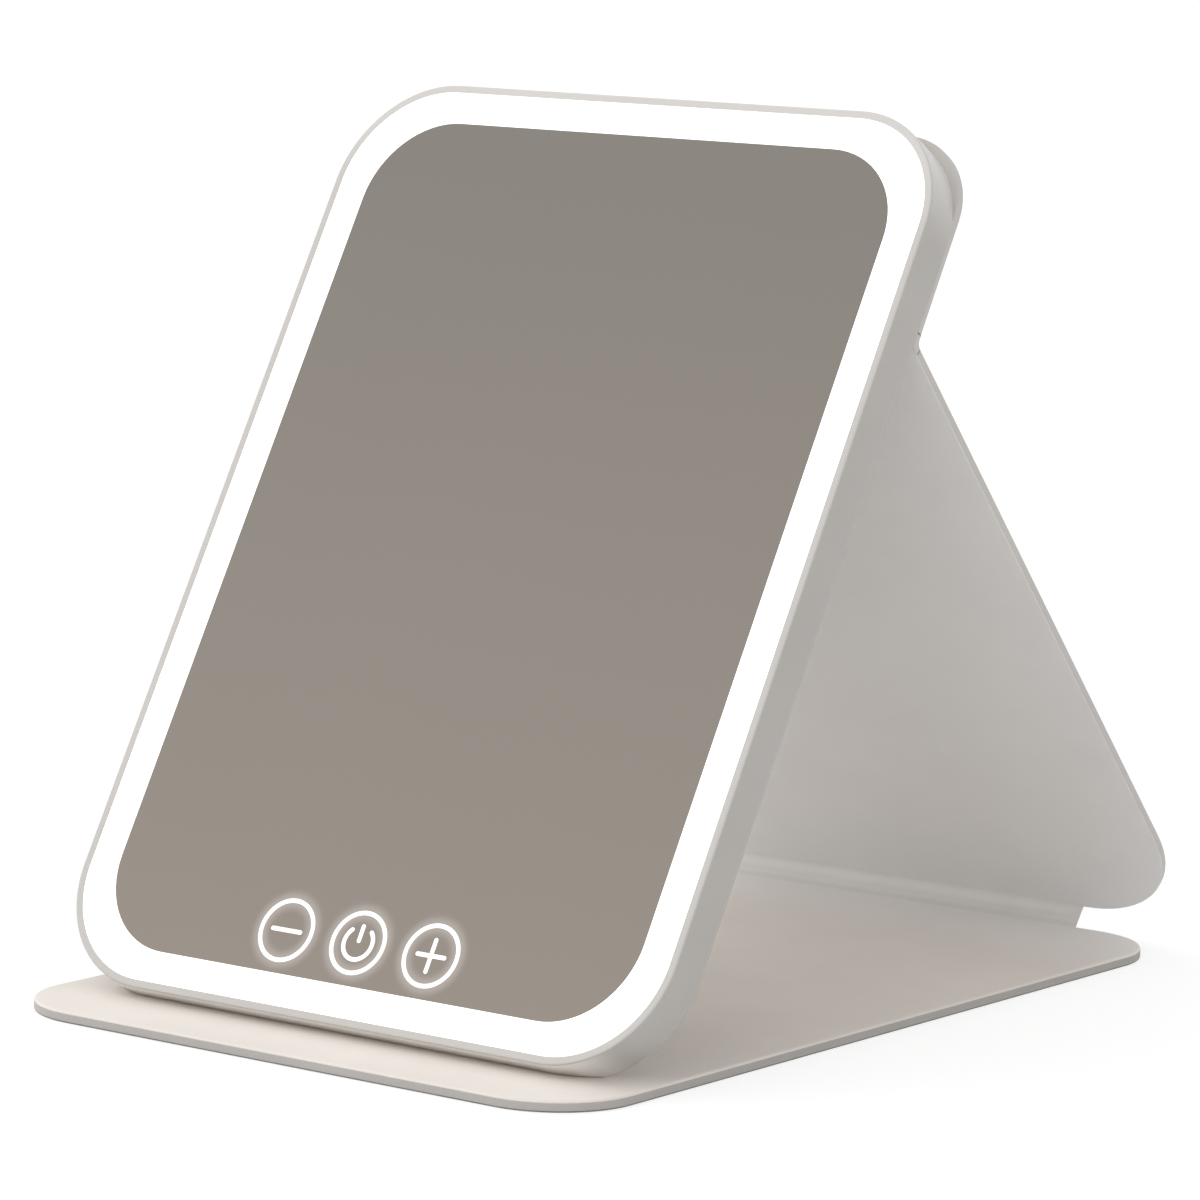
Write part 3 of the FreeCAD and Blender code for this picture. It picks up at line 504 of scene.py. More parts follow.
def crease_face(leg_level, panel_level, radius):
    """One face of the crease, from inside the leg to inside the upper panel."""
    first = crease_start - leg_up * CREASE_TUCK + leg_in * leg_level
    last = crease_end + face_up * CREASE_TUCK + face_out * panel_level
    return bent_path([first, crossing(first, leg_up, last, face_up), last], (radius,))


crease_inner = crease_face(LEG_INNER - LEVEL_GAP, PANEL_FRONT - LEVEL_GAP, CREASE_INNER_BEND)
crease_outer = crease_face(LEG_OUTER + LEVEL_GAP, LEG_OUTER + LEVEL_GAP, CREASE_OUTER_BEND)


def crease_reach(point):
    """As far as the leg on its side of the fold and as far as the upper panel on the other."""
    share = (point.z - crease_start.z) / (crease_end.z - crease_start.z)
    return LEG_HALF_WIDTH + (PANEL_HALF_WIDTH - LEG_HALF_WIDTH) * min(max(share, 0.0), 1.0)


crease = strip_between("crease", crease_inner, crease_outer, crease_reach)
crease.data.materials.append(pale_lining_painted_light)
crease.data.materials.append(outer_leather)
for face in crease.data.polygons:
    lining_side = face.normal.y < FRONT_FACING and abs(face.normal.x) < END_FACING
    face.material_index = 0 if lining_side else 1
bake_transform(crease)
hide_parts("head_fold_strip")

# Upper panel: the top of the folio's back, board and skin, bonded to the mirror's housing. Its
# round corners are a little squarer than the housing's, so they stand out behind it.
PANEL_LOW = 63.3
PANEL_HIGH = 109.0
PANEL_BACK = -2.3
PANEL_CORNER = 18.5
PANEL_BOND = 0.17


def upper_ring(inset, z):
    """A ring round the upper panel, set in from its edge, at a level."""
    x = PANEL_HALF_WIDTH - inset
    corners = (SQUARE_CORNER, SQUARE_CORNER, PANEL_CORNER - inset, PANEL_CORNER - inset)
    return [(*point, z) for point in panel_outline(-x, x, PANEL_LOW, PANEL_HIGH - inset, corners)]


upper_profile = (
    (3.0, PANEL_BACK),
    (0.6, PANEL_BACK),
    (0.3, PANEL_BACK + 0.07),
    (0.1, PANEL_BACK + 0.24),
    (0.0, PANEL_BACK + 0.55),
    (0.0, PANEL_BOND - 0.25),
    (0.04, PANEL_BOND - 0.1),
    (0.12, PANEL_BOND - 0.02),
    (0.2, PANEL_BOND),
    (0.25, PANEL_BOND),
    (3.0, PANEL_BOND),
)
upper_panel = lofted("upper_panel", [upper_ring(*step) for step in upper_profile], on_head)
upper_panel.data.materials.append(outer_leather)
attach(upper_panel, "head")
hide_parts("upper_panel_skin")

# Housing: a shallow moulded tray in satin off-white plastic, painted paler along its foot and its top:
# painted light that lifts the shade in the wedge under the foot and brightens the top corner. Its wall is
# the thin rim round the light, and its front edge carries a faint painted glow, painted light that brightens
# the rim; the lower back edge is cut to a flat that stands on the base.
BODY_HALF_WIDTH = 80.0
BODY_HALF_HEIGHT = 109.5
BODY_CORNER = 25.5
BODY_DEPTH = 10.0
RIM = 1.8
TRAY_FLOOR = 1.4
FOOT_LEVEL = 2.8
ROUND_STEPS = 28


def head_ring(inset, z):
    """A ring round the tray, set in from its edge, at a level."""
    x = BODY_HALF_WIDTH - inset
    y = BODY_HALF_HEIGHT - inset
    return [(*point, z) for point in panel_outline(-x, x, -y, y, [BODY_CORNER - inset] * 4, ROUND_STEPS)]


satin, tree, shader = finish_of("satin_plastic", (0.47, 0.451, 0.426), 0.36, Specular_IOR_Level=0.45)
flow = speckle(tree, 26.0, 3.0)
tone(tree, shader, flow, (0.455, 0.436, 0.411), (0.485, 0.466, 0.441))
spark = speckle(tree, 5200.0, 2.0)
gloss_between(tree, shader, spark, 0.3, 0.42)
relief(tree, shader, spark, 0.08, 0.00003)


def spot_on_head(tree):
    """Place on the mirror's own axes: across, up and out."""
    axes = wired(tree, "ShaderNodeMapping", {"vector_type": "TEXTURE"}, Vector=spot(tree))
    axes.inputs["Location"].default_value = HEAD_ORIGIN * MM
    axes.inputs["Rotation"].default_value = (math.pi / 2 - TILT, 0, 0)
    return axes.outputs["Vector"]


def worked_out(tree, operation, first, second=0.0):
    """The result of a sum on two values in a tree."""
    return wired(tree, "ShaderNodeMath", {"operation": operation}, i0=first, i1=second).outputs["Value"]


# The rim's front edge glows faintly: painted light that brightens it.
RIM_PAINTED_GLOW = 0.1
RIM_PAINTED_GLOW_COLOUR = (1.0, 0.965, 0.93, 1.0)
# The tray turns paler near its top and along its foot: painted light on the top corner and in the shaded
# wedge under the foot.
BODY_PAINTED_LIGHT = (0.85, 0.83, 0.805)
EDGE_START = BODY_DEPTH - 0.6
EDGE_END = BODY_DEPTH - 0.4
TOP_PAINTED_LIGHT_FROM = 80.0
TOP_PAINTED_LIGHT_TO = 102.0
TOP_PAINTED_LIGHT = 0.6
TOP_PAINTED_LIGHT_RIM_SHARE = 0.3
FOOT_PAINTED_LIGHT_FROM = -109.4
FOOT_PAINTED_LIGHT_TO = -103.0
on_body = wired(tree, "ShaderNodeSeparateXYZ", Vector=spot_on_head(tree)).outputs
painted_rim_glow = faded(tree, on_body["Z"], EDGE_END, BODY_DEPTH, 0.0, RIM_PAINTED_GLOW)
shader.inputs["Emission Color"].default_value = RIM_PAINTED_GLOW_COLOUR
tree.links.new(painted_rim_glow, shader.inputs["Emission Strength"])
painted_top_light = worked_out(
    tree,
    "MULTIPLY",
    faded(tree, on_body["Y"], TOP_PAINTED_LIGHT_FROM, TOP_PAINTED_LIGHT_TO, 0.0, TOP_PAINTED_LIGHT),
    faded(tree, on_body["Z"], EDGE_START, EDGE_END, 1.0, TOP_PAINTED_LIGHT_RIM_SHARE),
)
painted_foot_light = worked_out(
    tree,
    "MULTIPLY",
    faded(tree, on_body["Y"], FOOT_PAINTED_LIGHT_FROM, FOOT_PAINTED_LIGHT_TO, 1.0, 0.0),
    faded(tree, on_body["Z"], EDGE_START, EDGE_END, 1.0, 0.0),
)
lightened_by_paint(tree, worked_out(tree, "MAXIMUM", painted_top_light, painted_foot_light), BODY_PAINTED_LIGHT)

housing_profile = (
    (6.0, 0.0),
    (0.2, 0.0),
    (0.15, 0.0),
    (0.06, 0.03),
    (0.0, 0.12),
    (0.0, 0.17),
    (0.0, BODY_DEPTH - 0.5),
    (0.04, BODY_DEPTH - 0.3),
    (0.14, BODY_DEPTH - 0.13),
    (0.29, BODY_DEPTH - 0.03),
    (0.45, BODY_DEPTH),
    (0.5, BODY_DEPTH),
    (RIM - 0.25, BODY_DEPTH),
    (RIM - 0.2, BODY_DEPTH),
    (RIM - 0.06, BODY_DEPTH - 0.06),
    (RIM, BODY_DEPTH - 0.2),
    (RIM, TRAY_FLOOR + 1.2),
    (RIM + 0.35, TRAY_FLOOR + 0.35),
    (RIM + 1.2, TRAY_FLOOR),
    (RIM + 4.0, TRAY_FLOOR),
)
tray = lofted("tray", [head_ring(*step) for step in housing_profile], on_head)


def foot_cut(piece, level):
    """Cuts a piece flat at a level above the table and closes the cut."""
    form = bmesh.new()
    form.from_mesh(piece.data)
    cut = bmesh.ops.bisect_plane(
        form,
        geom=form.verts[:] + form.edges[:] + form.faces[:],
        plane_co=(0, 0, level * MM),
        plane_no=(0, 0, -1),
        clear_outer=True,
    )
    rim_edges = [part for part in cut["geom_cut"] if isinstance(part, bmesh.types.BMEdge)]
    bmesh.ops.edgeloop_fill(form, edges=rim_edges)
    bmesh.ops.recalc_face_normals(form, faces=form.faces)
    form.to_mesh(piece.data)
    form.free()


foot_cut(tray, FOOT_LEVEL)

INLET_Y = -60.0
INLET_Z = 4.5
SLOT_WIDE = 9.5
SLOT_TALL = 3.8
SLOT_FROM = -BODY_HALF_WIDTH - 2.0
SLOT_TO = -BODY_HALF_WIDTH + RIM + 0.8
TRAY_SHARP = 32


def pill(wide, tall, steps=10):
    """Points round a slot with round ends."""
    radius = tall / 2
    straight = wide / 2 - radius
    points = []
    for end, start in ((1, -90), (-1, 90)):
        for step in range(steps + 1):
            turn = math.radians(start + 180 * step / steps)
            points.append((end * straight + radius * math.cos(turn), radius * math.sin(turn)))
    return points


slot_line = [(INLET_Y + along, INLET_Z + out) for along, out in pill(SLOT_WIDE, SLOT_TALL)]
slot_rings = [[(x, *point) for point in slot_line] for x in (SLOT_FROM, SLOT_TO)]
slot_cutter = lofted("slot_cutter", slot_rings, on_head)
opening = tray.modifiers.new("opening", "BOOLEAN")
opening.operation = "DIFFERENCE"
opening.solver = "EXACT"
opening.object = slot_cutter
opened = bpy.data.meshes.new_from_object(tray.evaluated_get(bpy.context.evaluated_depsgraph_get()))
bpy.data.objects.remove(tray)
bpy.data.objects.remove(slot_cutter)
tray = finished("tray_shell", opened, TRAY_SHARP)
tray.data.materials.clear()
tray.data.materials.append(satin)
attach(tray, "head")
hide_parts("housing")

# Charging inlet: a deep-drawn steel shell with a contact blade, let into the left wall behind a
# slot with round ends.
steel, tree, shader = finish_of("drawn_steel", (0.6, 0.6, 0.6), 0.3, Metallic=1.0)
drawn = wired(tree, "ShaderNodeMapping", Vector=spot(tree))
drawn.inputs["Scale"].default_value = (200.0, 6000.0, 6000.0)
streaks = wired(tree, "ShaderNodeTexNoise", Vector=drawn.outputs["Vector"], Scale=1.0, Detail=3.0)
tone(tree, shader, streaks.outputs["Fac"], (0.5, 0.5, 0.5), (0.68, 0.68, 0.68))
gloss_between(tree, shader, streaks.outputs["Fac"], 0.22, 0.4)
dress(steel, "usb_socket")

# Circuit boards: green glass-fibre boards with copper runs under the solder mask. The large one is
# screwed down in the tray, and the small one carries the touch pads behind the marks.
pcb, tree, shader = finish_of("circuit_board", (0.03, 0.16, 0.07), 0.4)
runs = wired(tree, "ShaderNodeTexBrick", Vector=spot(tree), Scale=190.0)
runs.inputs["Color1"].default_value = (0.02, 0.12, 0.05, 1)
runs.inputs["Color2"].default_value = (0.035, 0.18, 0.08, 1)
runs.inputs["Mortar"].default_value = (0.07, 0.28, 0.12, 1)
tree.links.new(runs.outputs["Color"], shader.inputs["Base Color"])
relief(tree, shader, runs.outputs["Fac"], 0.2, 0.00004)
dress(pcb, "control_board", "touch_board")

# Light strip and flat cable: amber film circuits with etched copper lines. The strip lies round
# the floor of the light channel, and the cable joins the two boards.
film, tree, shader = finish_of("amber_film", (0.45, 0.2, 0.05), 0.35)
lines = wired(tree, "ShaderNodeTexWave", Vector=spot(tree), Scale=160.0, Distortion=0.4)
tone(tree, shader, lines.outputs["Fac"], (0.36, 0.15, 0.035), (0.6, 0.3, 0.1))
gloss_between(tree, shader, lines.outputs["Fac"], 0.28, 0.42)
dress(film, "led_strip", "touch_flex")

# Mark lamps: small moulded cases filled with yellow phosphor, soldered to the small board under
# the light wells of the marks.
lamp, tree, shader = finish_of("phosphor", (0.85, 0.74, 0.3), 0.4)
grains = speckle(tree, 3000.0, 3.0)
tone(tree, shader, grains, (0.8, 0.64, 0.2), (0.9, 0.84, 0.5))
dress(lamp, "icon_leds")

# Strip lamps: small white moulded cases with a window of yellow phosphor, soldered along the
# light strip at an even pitch; none sits under the charging inlet.
STRIP_HALF_WIDTH = 75.2
STRIP_HALF_HEIGHT = 104.7
STRIP_CORNER = 20.7
STRIP_TOP = 1.7
CHIP_COUNT = 62
ARC_STEPS = 24
head_axes = Matrix((Vector((1, 0, 0)), face_up, face_out)).transposed().to_4x4()
head_axes.translation = HEAD_ORIGIN * MM


def grown(name, guide, sizes, make):
    """A piece grown by Geometry Nodes on a guide that is given on the mirror's own axes."""
    tree = bpy.data.node_groups.new(name, "GeometryNodeTree")
    tree.interface.new_socket("Guide", in_out="INPUT", socket_type="NodeSocketGeometry")
    tree.interface.new_socket("Piece", in_out="OUTPUT", socket_type="NodeSocketGeometry")
    labels = {}
    for label, (kind, value) in sizes.items():
        labels[label] = tree.interface.new_socket(label, in_out="INPUT", socket_type="NodeSocket" + kind)
    made = make(tree, tree.nodes.new("NodeGroupInput").outputs)
    tree.links.new(made, tree.nodes.new("NodeGroupOutput").inputs["Piece"])
    holder = bpy.data.objects.new(name + "_guide", guide)
    bpy.context.scene.collection.objects.link(holder)
    growth = holder.modifiers.new("growth", "NODES")
    growth.node_group = tree
    for label, (kind, value) in sizes.items():
        growth[labels[label].identifier] = value
    mesh = bpy.data.meshes.new_from_object(holder.evaluated_get(bpy.context.evaluated_depsgraph_get()))
    bpy.data.objects.remove(holder)
    mesh.materials.pop(index=0)
    mesh.transform(head_axes)
    return finished(name, mesh)


def lifted(tree, shape, high, share):
    """A shape moved up by a share of its height."""
    rise = wired(tree, "ShaderNodeCombineXYZ", Z=worked_out(tree, "MULTIPLY", high, share))
    moved = wired(tree, "GeometryNodeTransform", Geometry=shape, Translation=rise.outputs["Vector"])
    return moved.outputs["Geometry"]


def block(tree, along, across, high, share):
    """A block of given sizes, its middle moved up by a share of its height."""
    size = wired(tree, "ShaderNodeCombineXYZ", X=along, Y=across, Z=high)
    cube = wired(tree, "GeometryNodeMeshCube", Size=size.outputs["Vector"])
    return lifted(tree, cube.outputs["Mesh"], high, share)


def strip_lamps(tree, given):
    """The row of lamps along the strip, with none beside the inlet."""
    loop = wired(tree, "GeometryNodeMeshToCurve", Mesh=given["Guide"]).outputs["Curve"]
    row = wired(tree, "GeometryNodePoints", Count=given["Count"])
    order = wired(tree, "GeometryNodeInputIndex").outputs["Index"]
    share = worked_out(tree, "DIVIDE", worked_out(tree, "ADD", order, 0.5), given["Count"])
    stop = wired(tree, "GeometryNodeSampleCurve", {"mode": "FACTOR"}, Curves=loop, Factor=share)
    spaced = wired(
        tree, "GeometryNodeSetPosition", Geometry=row.outputs[0], Position=stop.outputs["Position"]
    )
    turned = wired(
        tree,
        "FunctionNodeAlignRotationToVector",
        {"axis": "X", "pivot_axis": "Z"},
        Vector=stop.outputs["Tangent"],
    )
    place = wired(tree, "ShaderNodeSeparateXYZ", Vector=stop.outputs["Position"])
    from_inlet = worked_out(tree, "SUBTRACT", place.outputs["Y"], given["Inlet Place"])
    clear_along = worked_out(
        tree, "GREATER_THAN", worked_out(tree, "ABSOLUTE", from_inlet), given["Inlet Room"]
    )
    clear_across = worked_out(tree, "GREATER_THAN", place.outputs["X"], given["Inlet Side"])
    kept = worked_out(tree, "MAXIMUM", clear_along, clear_across)
    case = block(tree, given["Length"], given["Width"], given["Height"], 0.5)
    facing = wired(
        tree, "ShaderNodeSeparateXYZ", Vector=wired(tree, "GeometryNodeInputNormal").outputs["Normal"]
    )
    top = worked_out(tree, "GREATER_THAN", facing.outputs["Z"], 0.5)
    lip = wired(tree, "GeometryNodeExtrudeMesh", Mesh=case, Selection=top, Offset_Scale=0.0)
    drawn = wired(
        tree,
        "GeometryNodeScaleElements",
        Geometry=lip.outputs["Mesh"],
        Selection=lip.outputs["Top"],
        Scale=given["Window Share"],
    )
    sunk = wired(
        tree,
        "GeometryNodeExtrudeMesh",
        Mesh=drawn.outputs["Geometry"],
        Selection=lip.outputs["Top"],
        Offset_Scale=worked_out(tree, "MULTIPLY", given["Window Depth"], -1.0),
    )
    noted = wired(
        tree,
        "GeometryNodeStoreNamedAttribute",
        {"data_type": "BOOLEAN", "domain": "FACE"},
        Geometry=sunk.outputs["Mesh"],
        Name="window",
        Value=sunk.outputs["Top"],
    )
    lamps = wired(
        tree,
        "GeometryNodeInstanceOnPoints",
        Points=spaced.outputs["Geometry"],
        Selection=kept,
        Instance=noted.outputs["Geometry"],
        Rotation=turned.outputs["Rotation"],
    )
    solid = wired(tree, "GeometryNodeRealizeInstances", Geometry=lamps.outputs["Instances"])
    cased = wired(
        tree, "GeometryNodeSetMaterial", Geometry=solid.outputs["Geometry"], Material=given["Case"]
    )
    window = wired(tree, "GeometryNodeInputNamedAttribute", {"data_type": "BOOLEAN"}, Name="window")
    filled = wired(
        tree,
        "GeometryNodeSetMaterial",
        Geometry=cased.outputs["Geometry"],
        Selection=window.outputs["Attribute"],
        Material=given["Phosphor"],
    )
    return filled.outputs["Geometry"]


case_white, tree, shader = finish_of("lamp_case", (0.82, 0.82, 0.8), 0.4)
mould = speckle(tree, 1800.0, 2.0)
tone(tree, shader, mould, (0.78, 0.78, 0.76), (0.86, 0.86, 0.84))
strip_line = panel_outline(
    -STRIP_HALF_WIDTH,
    STRIP_HALF_WIDTH,
    -STRIP_HALF_HEIGHT,
    STRIP_HALF_HEIGHT,
    [STRIP_CORNER] * 4,
    ARC_STEPS,
)
strip_line = strip_line[ARC_STEPS:] + strip_line[:ARC_STEPS]
strip_guide = bpy.data.meshes.new("strip_guide")
strip_guide.from_pydata(
    [Vector((x, y, STRIP_TOP)) * MM for x, y in strip_line],
    [(index, (index + 1) % len(strip_line)) for index in range(len(strip_line))],
    [],
)
chip_sizes = {
    "Count": ("Int", CHIP_COUNT),
    "Length": ("Float", 3.4 * MM),
    "Width": ("Float", 2.6 * MM),
    "Height": ("Float", 0.8 * MM),
    "Window Share": ("Float", 0.76),
    "Window Depth": ("Float", 0.15 * MM),
    "Inlet Place": ("Float", -63.65 * MM),
    "Inlet Room": ("Float", 13.05 * MM),
    "Inlet Side": ("Float", -70.9 * MM),
    "Case": ("Material", case_white),
    "Phosphor": ("Material", lamp),
}
strip_lamp_row = grown("strip_lamp_row", strip_guide, chip_sizes, strip_lamps)
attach(strip_lamp_row, "head")
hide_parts("led_chips")

# Wires: stranded copper leads in soft red plastic, one pair to the light strip and one to the
# cell, soldered at both ends.
cover, tree, shader = finish_of("wire_cover", (0.5, 0.03, 0.03), 0.45)
length_way = speckle(tree, 240.0, 2.0)
tone(tree, shader, length_way, (0.4, 0.02, 0.02), (0.6, 0.05, 0.04))
dress(cover, "led_leads", "battery_leads")

# Screws: two small zinc-plated steel screws with a cross recess, driven through opposite corners
# of the control board into the tray.
zinc, tree, shader = finish_of("zinc_plate", (0.66, 0.66, 0.68), 0.34, Metallic=1.0)
spangle = wired(tree, "ShaderNodeTexVoronoi", Vector=spot(tree), Scale=2600.0)
tone(tree, shader, spangle.outputs["Distance"], (0.56, 0.57, 0.6), (0.74, 0.74, 0.75))
BOARD_TOP = 2.9
SCREW_SPOTS = ((-67.5, -48.4), (-12.3, -71.6))
HEAD_SIDES = 32
SHANK_SIDES = 20


def rod(tree, sides, radius, high, share):
    """An upright rod, its middle moved up by a share of its height."""
    round_bar = wired(tree, "GeometryNodeMeshCylinder", Vertices=sides, Radius=radius, Depth=high)
    return lifted(tree, round_bar.outputs["Mesh"], high, share)


def cross_head_screws(tree, given):
    """A screw at each point of the guide."""
    head = rod(tree, HEAD_SIDES, given["Head Radius"], given["Head Height"], 0.5)
    recess = wired(tree, "GeometryNodeMeshBoolean", {"operation": "DIFFERENCE"}, Mesh_1=head)
    wings = (("Recess Length", "Recess Width", 1.0), ("Recess Width", "Recess Length", 1.1))
    for along, across, share in wings:
        wing = block(tree, given[along], given[across], given["Head Height"], share)
        tree.links.new(wing, recess.inputs["Mesh 2"])
    shank = rod(tree, SHANK_SIDES, given["Shank Radius"], given["Shank Length"], -0.5)
    screw = wired(tree, "GeometryNodeJoinGeometry", Geometry=recess.outputs["Mesh"])
    tree.links.new(shank, screw.inputs["Geometry"])
    driven = wired(
        tree, "GeometryNodeInstanceOnPoints", Points=given["Guide"], Instance=screw.outputs["Geometry"]
    )
    solid = wired(tree, "GeometryNodeRealizeInstances", Geometry=driven.outputs["Instances"])
    plated = wired(
        tree, "GeometryNodeSetMaterial", Geometry=solid.outputs["Geometry"], Material=given["Plating"]
    )
    return plated.outputs["Geometry"]


screw_guide = bpy.data.meshes.new("screw_guide")
screw_guide.from_pydata([Vector((x, y, BOARD_TOP)) * MM for x, y in SCREW_SPOTS], [], [])
screw_sizes = {
    "Head Radius": ("Float", 1.5 * MM),
    "Head Height": ("Float", 0.9 * MM),
    "Recess Length": ("Float", 1.7 * MM),
    "Recess Width": ("Float", 0.4 * MM),
    "Shank Radius": ("Float", 0.8 * MM),
    "Shank Length": ("Float", 2.2 * MM),
    "Plating": ("Material", zinc),
}
cross_screws = grown("cross_screws", screw_guide, screw_sizes, cross_head_screws)
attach(cross_screws, "head")
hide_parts("board_screws")

# Cell: a flat rechargeable pouch in crimped aluminium foil, stuck to the tray's floor by an
# adhesive pad.
foil, tree, shader = finish_of("cell_foil", (0.62, 0.63, 0.65), 0.32, Metallic=0.9)
crumple = speckle(tree, 120.0, 6.0)
tone(tree, shader, crumple, (0.52, 0.53, 0.55), (0.7, 0.71, 0.73))
relief(tree, shader, crumple, 0.25, 0.0002)
dress(foil, "battery_cell")

# Adhesive and foam: the cell's pad, the sheet under the glass and the block with the three
# light wells behind the marks.
sticky, tree, shader = finish_of("adhesive", (0.75, 0.74, 0.7), 0.6)
gel = speckle(tree, 300.0, 4.0)
tone(tree, shader, gel, (0.68, 0.67, 0.63), (0.8, 0.79, 0.75))
dress(sticky, "mirror_tape", "battery_pad")
foam, tree, shader = finish_of("black_foam", (0.03, 0.03, 0.03), 0.95)
cells = wired(tree, "ShaderNodeTexVoronoi", Vector=spot(tree), Scale=2200.0)
tone(tree, shader, cells.outputs["Distance"], (0.015, 0.015, 0.015), (0.06, 0.06, 0.06))
relief(tree, shader, cells.outputs["Distance"], 0.6, 0.0002)
dress(foam, "icon_gasket")

# Light frame: the white moulded wall between light channel and electronics, with the plate
# that carries the glass.
white, tree, shader = finish_of("white_plastic", (0.8, 0.8, 0.78), 0.45)
moulding = speckle(tree, 60.0, 3.0)
tone(tree, shader, moulding, (0.77, 0.77, 0.75), (0.83, 0.83, 0.81))
dress(white, "light_frame")

# Light band: the opal moulded ring round the glass, lit evenly from behind by the strip lamps. It
# lies almost flush in the rim, with a fine gap all round.
BAND_TOP = BODY_DEPTH - 0.1
BAND_BACK = BODY_DEPTH - 1.8
GLASS_INSET = 9.5
GLASS_LOW_INSET = 8.8
GLASS_CORNER = 20.0
BAND_GAP = 0.03
opal, tree, shader = finish_of("lit_opal", (0.88, 0.87, 0.85), 0.5, Emission_Color=(1.0, 0.99, 0.975, 1.0))
milk = speckle(tree, 90.0, 2.0)
glow = wired(tree, "ShaderNodeMapRange", Value=milk, To_Min=0.9, To_Max=1.0)
tree.links.new(glow.outputs["Result"], shader.inputs["Emission Strength"])


def band_ring(share, z):
    """A ring of the band: 0 at its outer edge, 1 at its inner edge."""
    outer = head_ring(RIM + BAND_GAP, z)
    side = BODY_HALF_WIDTH - GLASS_INSET + BAND_GAP
    low = GLASS_LOW_INSET - BODY_HALF_HEIGHT - BAND_GAP
    high = BODY_HALF_HEIGHT - GLASS_INSET + BAND_GAP
    glass_edge = panel_outline(-side, side, low, high, [GLASS_CORNER + BAND_GAP] * 4, ROUND_STEPS)
    inner = [(*point, z) for point in glass_edge]
    return [tuple(a + (b - a) * share for a, b in zip(one, two)) for one, two in zip(outer, inner)]


band_profile = (
    (0.0, BAND_BACK),
    (0.0, BAND_TOP - 0.2),
    (0.008, BAND_TOP - 0.06),
    (0.03, BAND_TOP),
    (0.97, BAND_TOP),
    (0.992, BAND_TOP - 0.06),
    (1.0, BAND_TOP - 0.2),
    (1.0, BAND_BACK),
)
light_band = lofted("light_band", [band_ring(*step) for step in band_profile], on_head, closed=True)
light_band.data.materials.append(opal)
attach(light_band, "head")
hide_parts("light_diffuser")

# Mirror: silvered float glass with ground edges, held by the adhesive sheet. The silvering is
# left clear behind the marks, and their light spreads a little in the glass.
ICON_Y = -91.1
ICON_SPACING = 19.5
GLASS_FRONT = 9.8
RING_RADIUS = 7.2
STROKE = 0.95
REFLECTION_FADE = 100.0
HALO_REACH = 3.3
HALO_GLOW = 0.15
# The silvering is dark and turns darker towards the top: a painted reflection of a grey room.
silver, tree, shader = finish_of("silvered_glass", (0.3, 0.27, 0.24), 0.045, Metallic=1.0)
glass_spot = spot_on_head(tree)
on_face = wired(tree, "ShaderNodeSeparateXYZ", Vector=glass_spot)
painted_reflection_climb = wired(
    tree,
    "ShaderNodeMapRange",
    Value=on_face.outputs["Y"],
    From_Min=-REFLECTION_FADE * MM,
    From_Max=REFLECTION_FADE * MM,
)
drift = speckle(tree, 14.0, 3.0)
painted_reflection = wired(
    tree,
    "ShaderNodeMath",
    {"operation": "MULTIPLY_ADD"},
    i0=drift,
    i1=0.12,
    i2=painted_reflection_climb.outputs["Result"],
)
tone(tree, shader, painted_reflection.outputs["Value"], (0.335, 0.295, 0.258), (0.262, 0.242, 0.216), 0.0, 1.0)
haloes = 0.0
for column in (-1, 0, 1):
    shift = wired(
        tree,
        "ShaderNodeVectorMath",
        {"operation": "SUBTRACT"},
        i0=glass_spot,
        i1=(column * ICON_SPACING * MM, ICON_Y * MM, GLASS_FRONT * MM),
    )
    away = wired(tree, "ShaderNodeVectorMath", {"operation": "LENGTH"}, i0=shift.outputs["Vector"])
    from_ring = worked_out(tree, "SUBTRACT", away.outputs["Value"], (RING_RADIUS - STROKE / 2) * MM)
    halo = wired(
        tree,
        "ShaderNodeMapRange",
        {"interpolation_type": "SMOOTHERSTEP"},
        Value=worked_out(tree, "ABSOLUTE", from_ring),
        From_Max=HALO_REACH * MM,
        To_Min=HALO_GLOW,
        To_Max=0.0,
    )
    haloes = worked_out(tree, "MAXIMUM", halo.outputs["Result"], haloes)
shader.inputs["Emission Color"].default_value = (1.0, 0.98, 0.95, 1.0)
tree.links.new(haloes, shader.inputs["Emission Strength"])
dress(silver, "mirror_glass")

# Touch marks: clear windows in the silvering, etched in the shape of the signs and their rings and
# lit from behind. They are flat, with nothing to press in.
marks, tree, shader = finish_of("lit_mark", (0.35, 0.35, 0.35), 0.3, Emission_Color=(1.0, 0.995, 0.985, 1.0))
flicker = speckle(tree, 700.0, 2.0)
lit = wired(tree, "ShaderNodeMapRange", Value=flicker, To_Min=0.88, To_Max=1.0)
tree.links.new(lit.outputs["Result"], shader.inputs["Emission Strength"])
MARK_THICK = 0.15
SIGN_LENGTH = {"minus": 8.4, "plus": 8.0, "power": 4.2}
POWER_RADIUS = 4.2
POWER_GAP = 44
RING_STEPS = 72
POWER_STEPS = 48
mark_levels = (GLASS_FRONT, GLASS_FRONT + MARK_THICK)


def arc(radius, start, end, middle=(0.0, 0.0), steps=12):
    """Points along a circle, between two angles."""
    turns = [math.radians(start + (end - start) * step / steps) for step in range(steps + 1)]
    return [(middle[0] + radius * math.cos(turn), middle[1] + radius * math.sin(turn)) for turn in turns]


def turned_point(radius, angle):
    """A point at a distance and an angle from the middle."""
    return arc(radius, angle, angle, steps=1)[0]


def plus_outline():
    """Two crossed strokes with round ends."""
    points = []
    for way in (0, 90, 180, 270):
        end = turned_point((SIGN_LENGTH["plus"] - STROKE) / 2, way)
        points += arc(STROKE / 2, way - 90, way + 90, end)
        points.append(turned_point(STROKE / math.sqrt(2), way + 45))
    return points


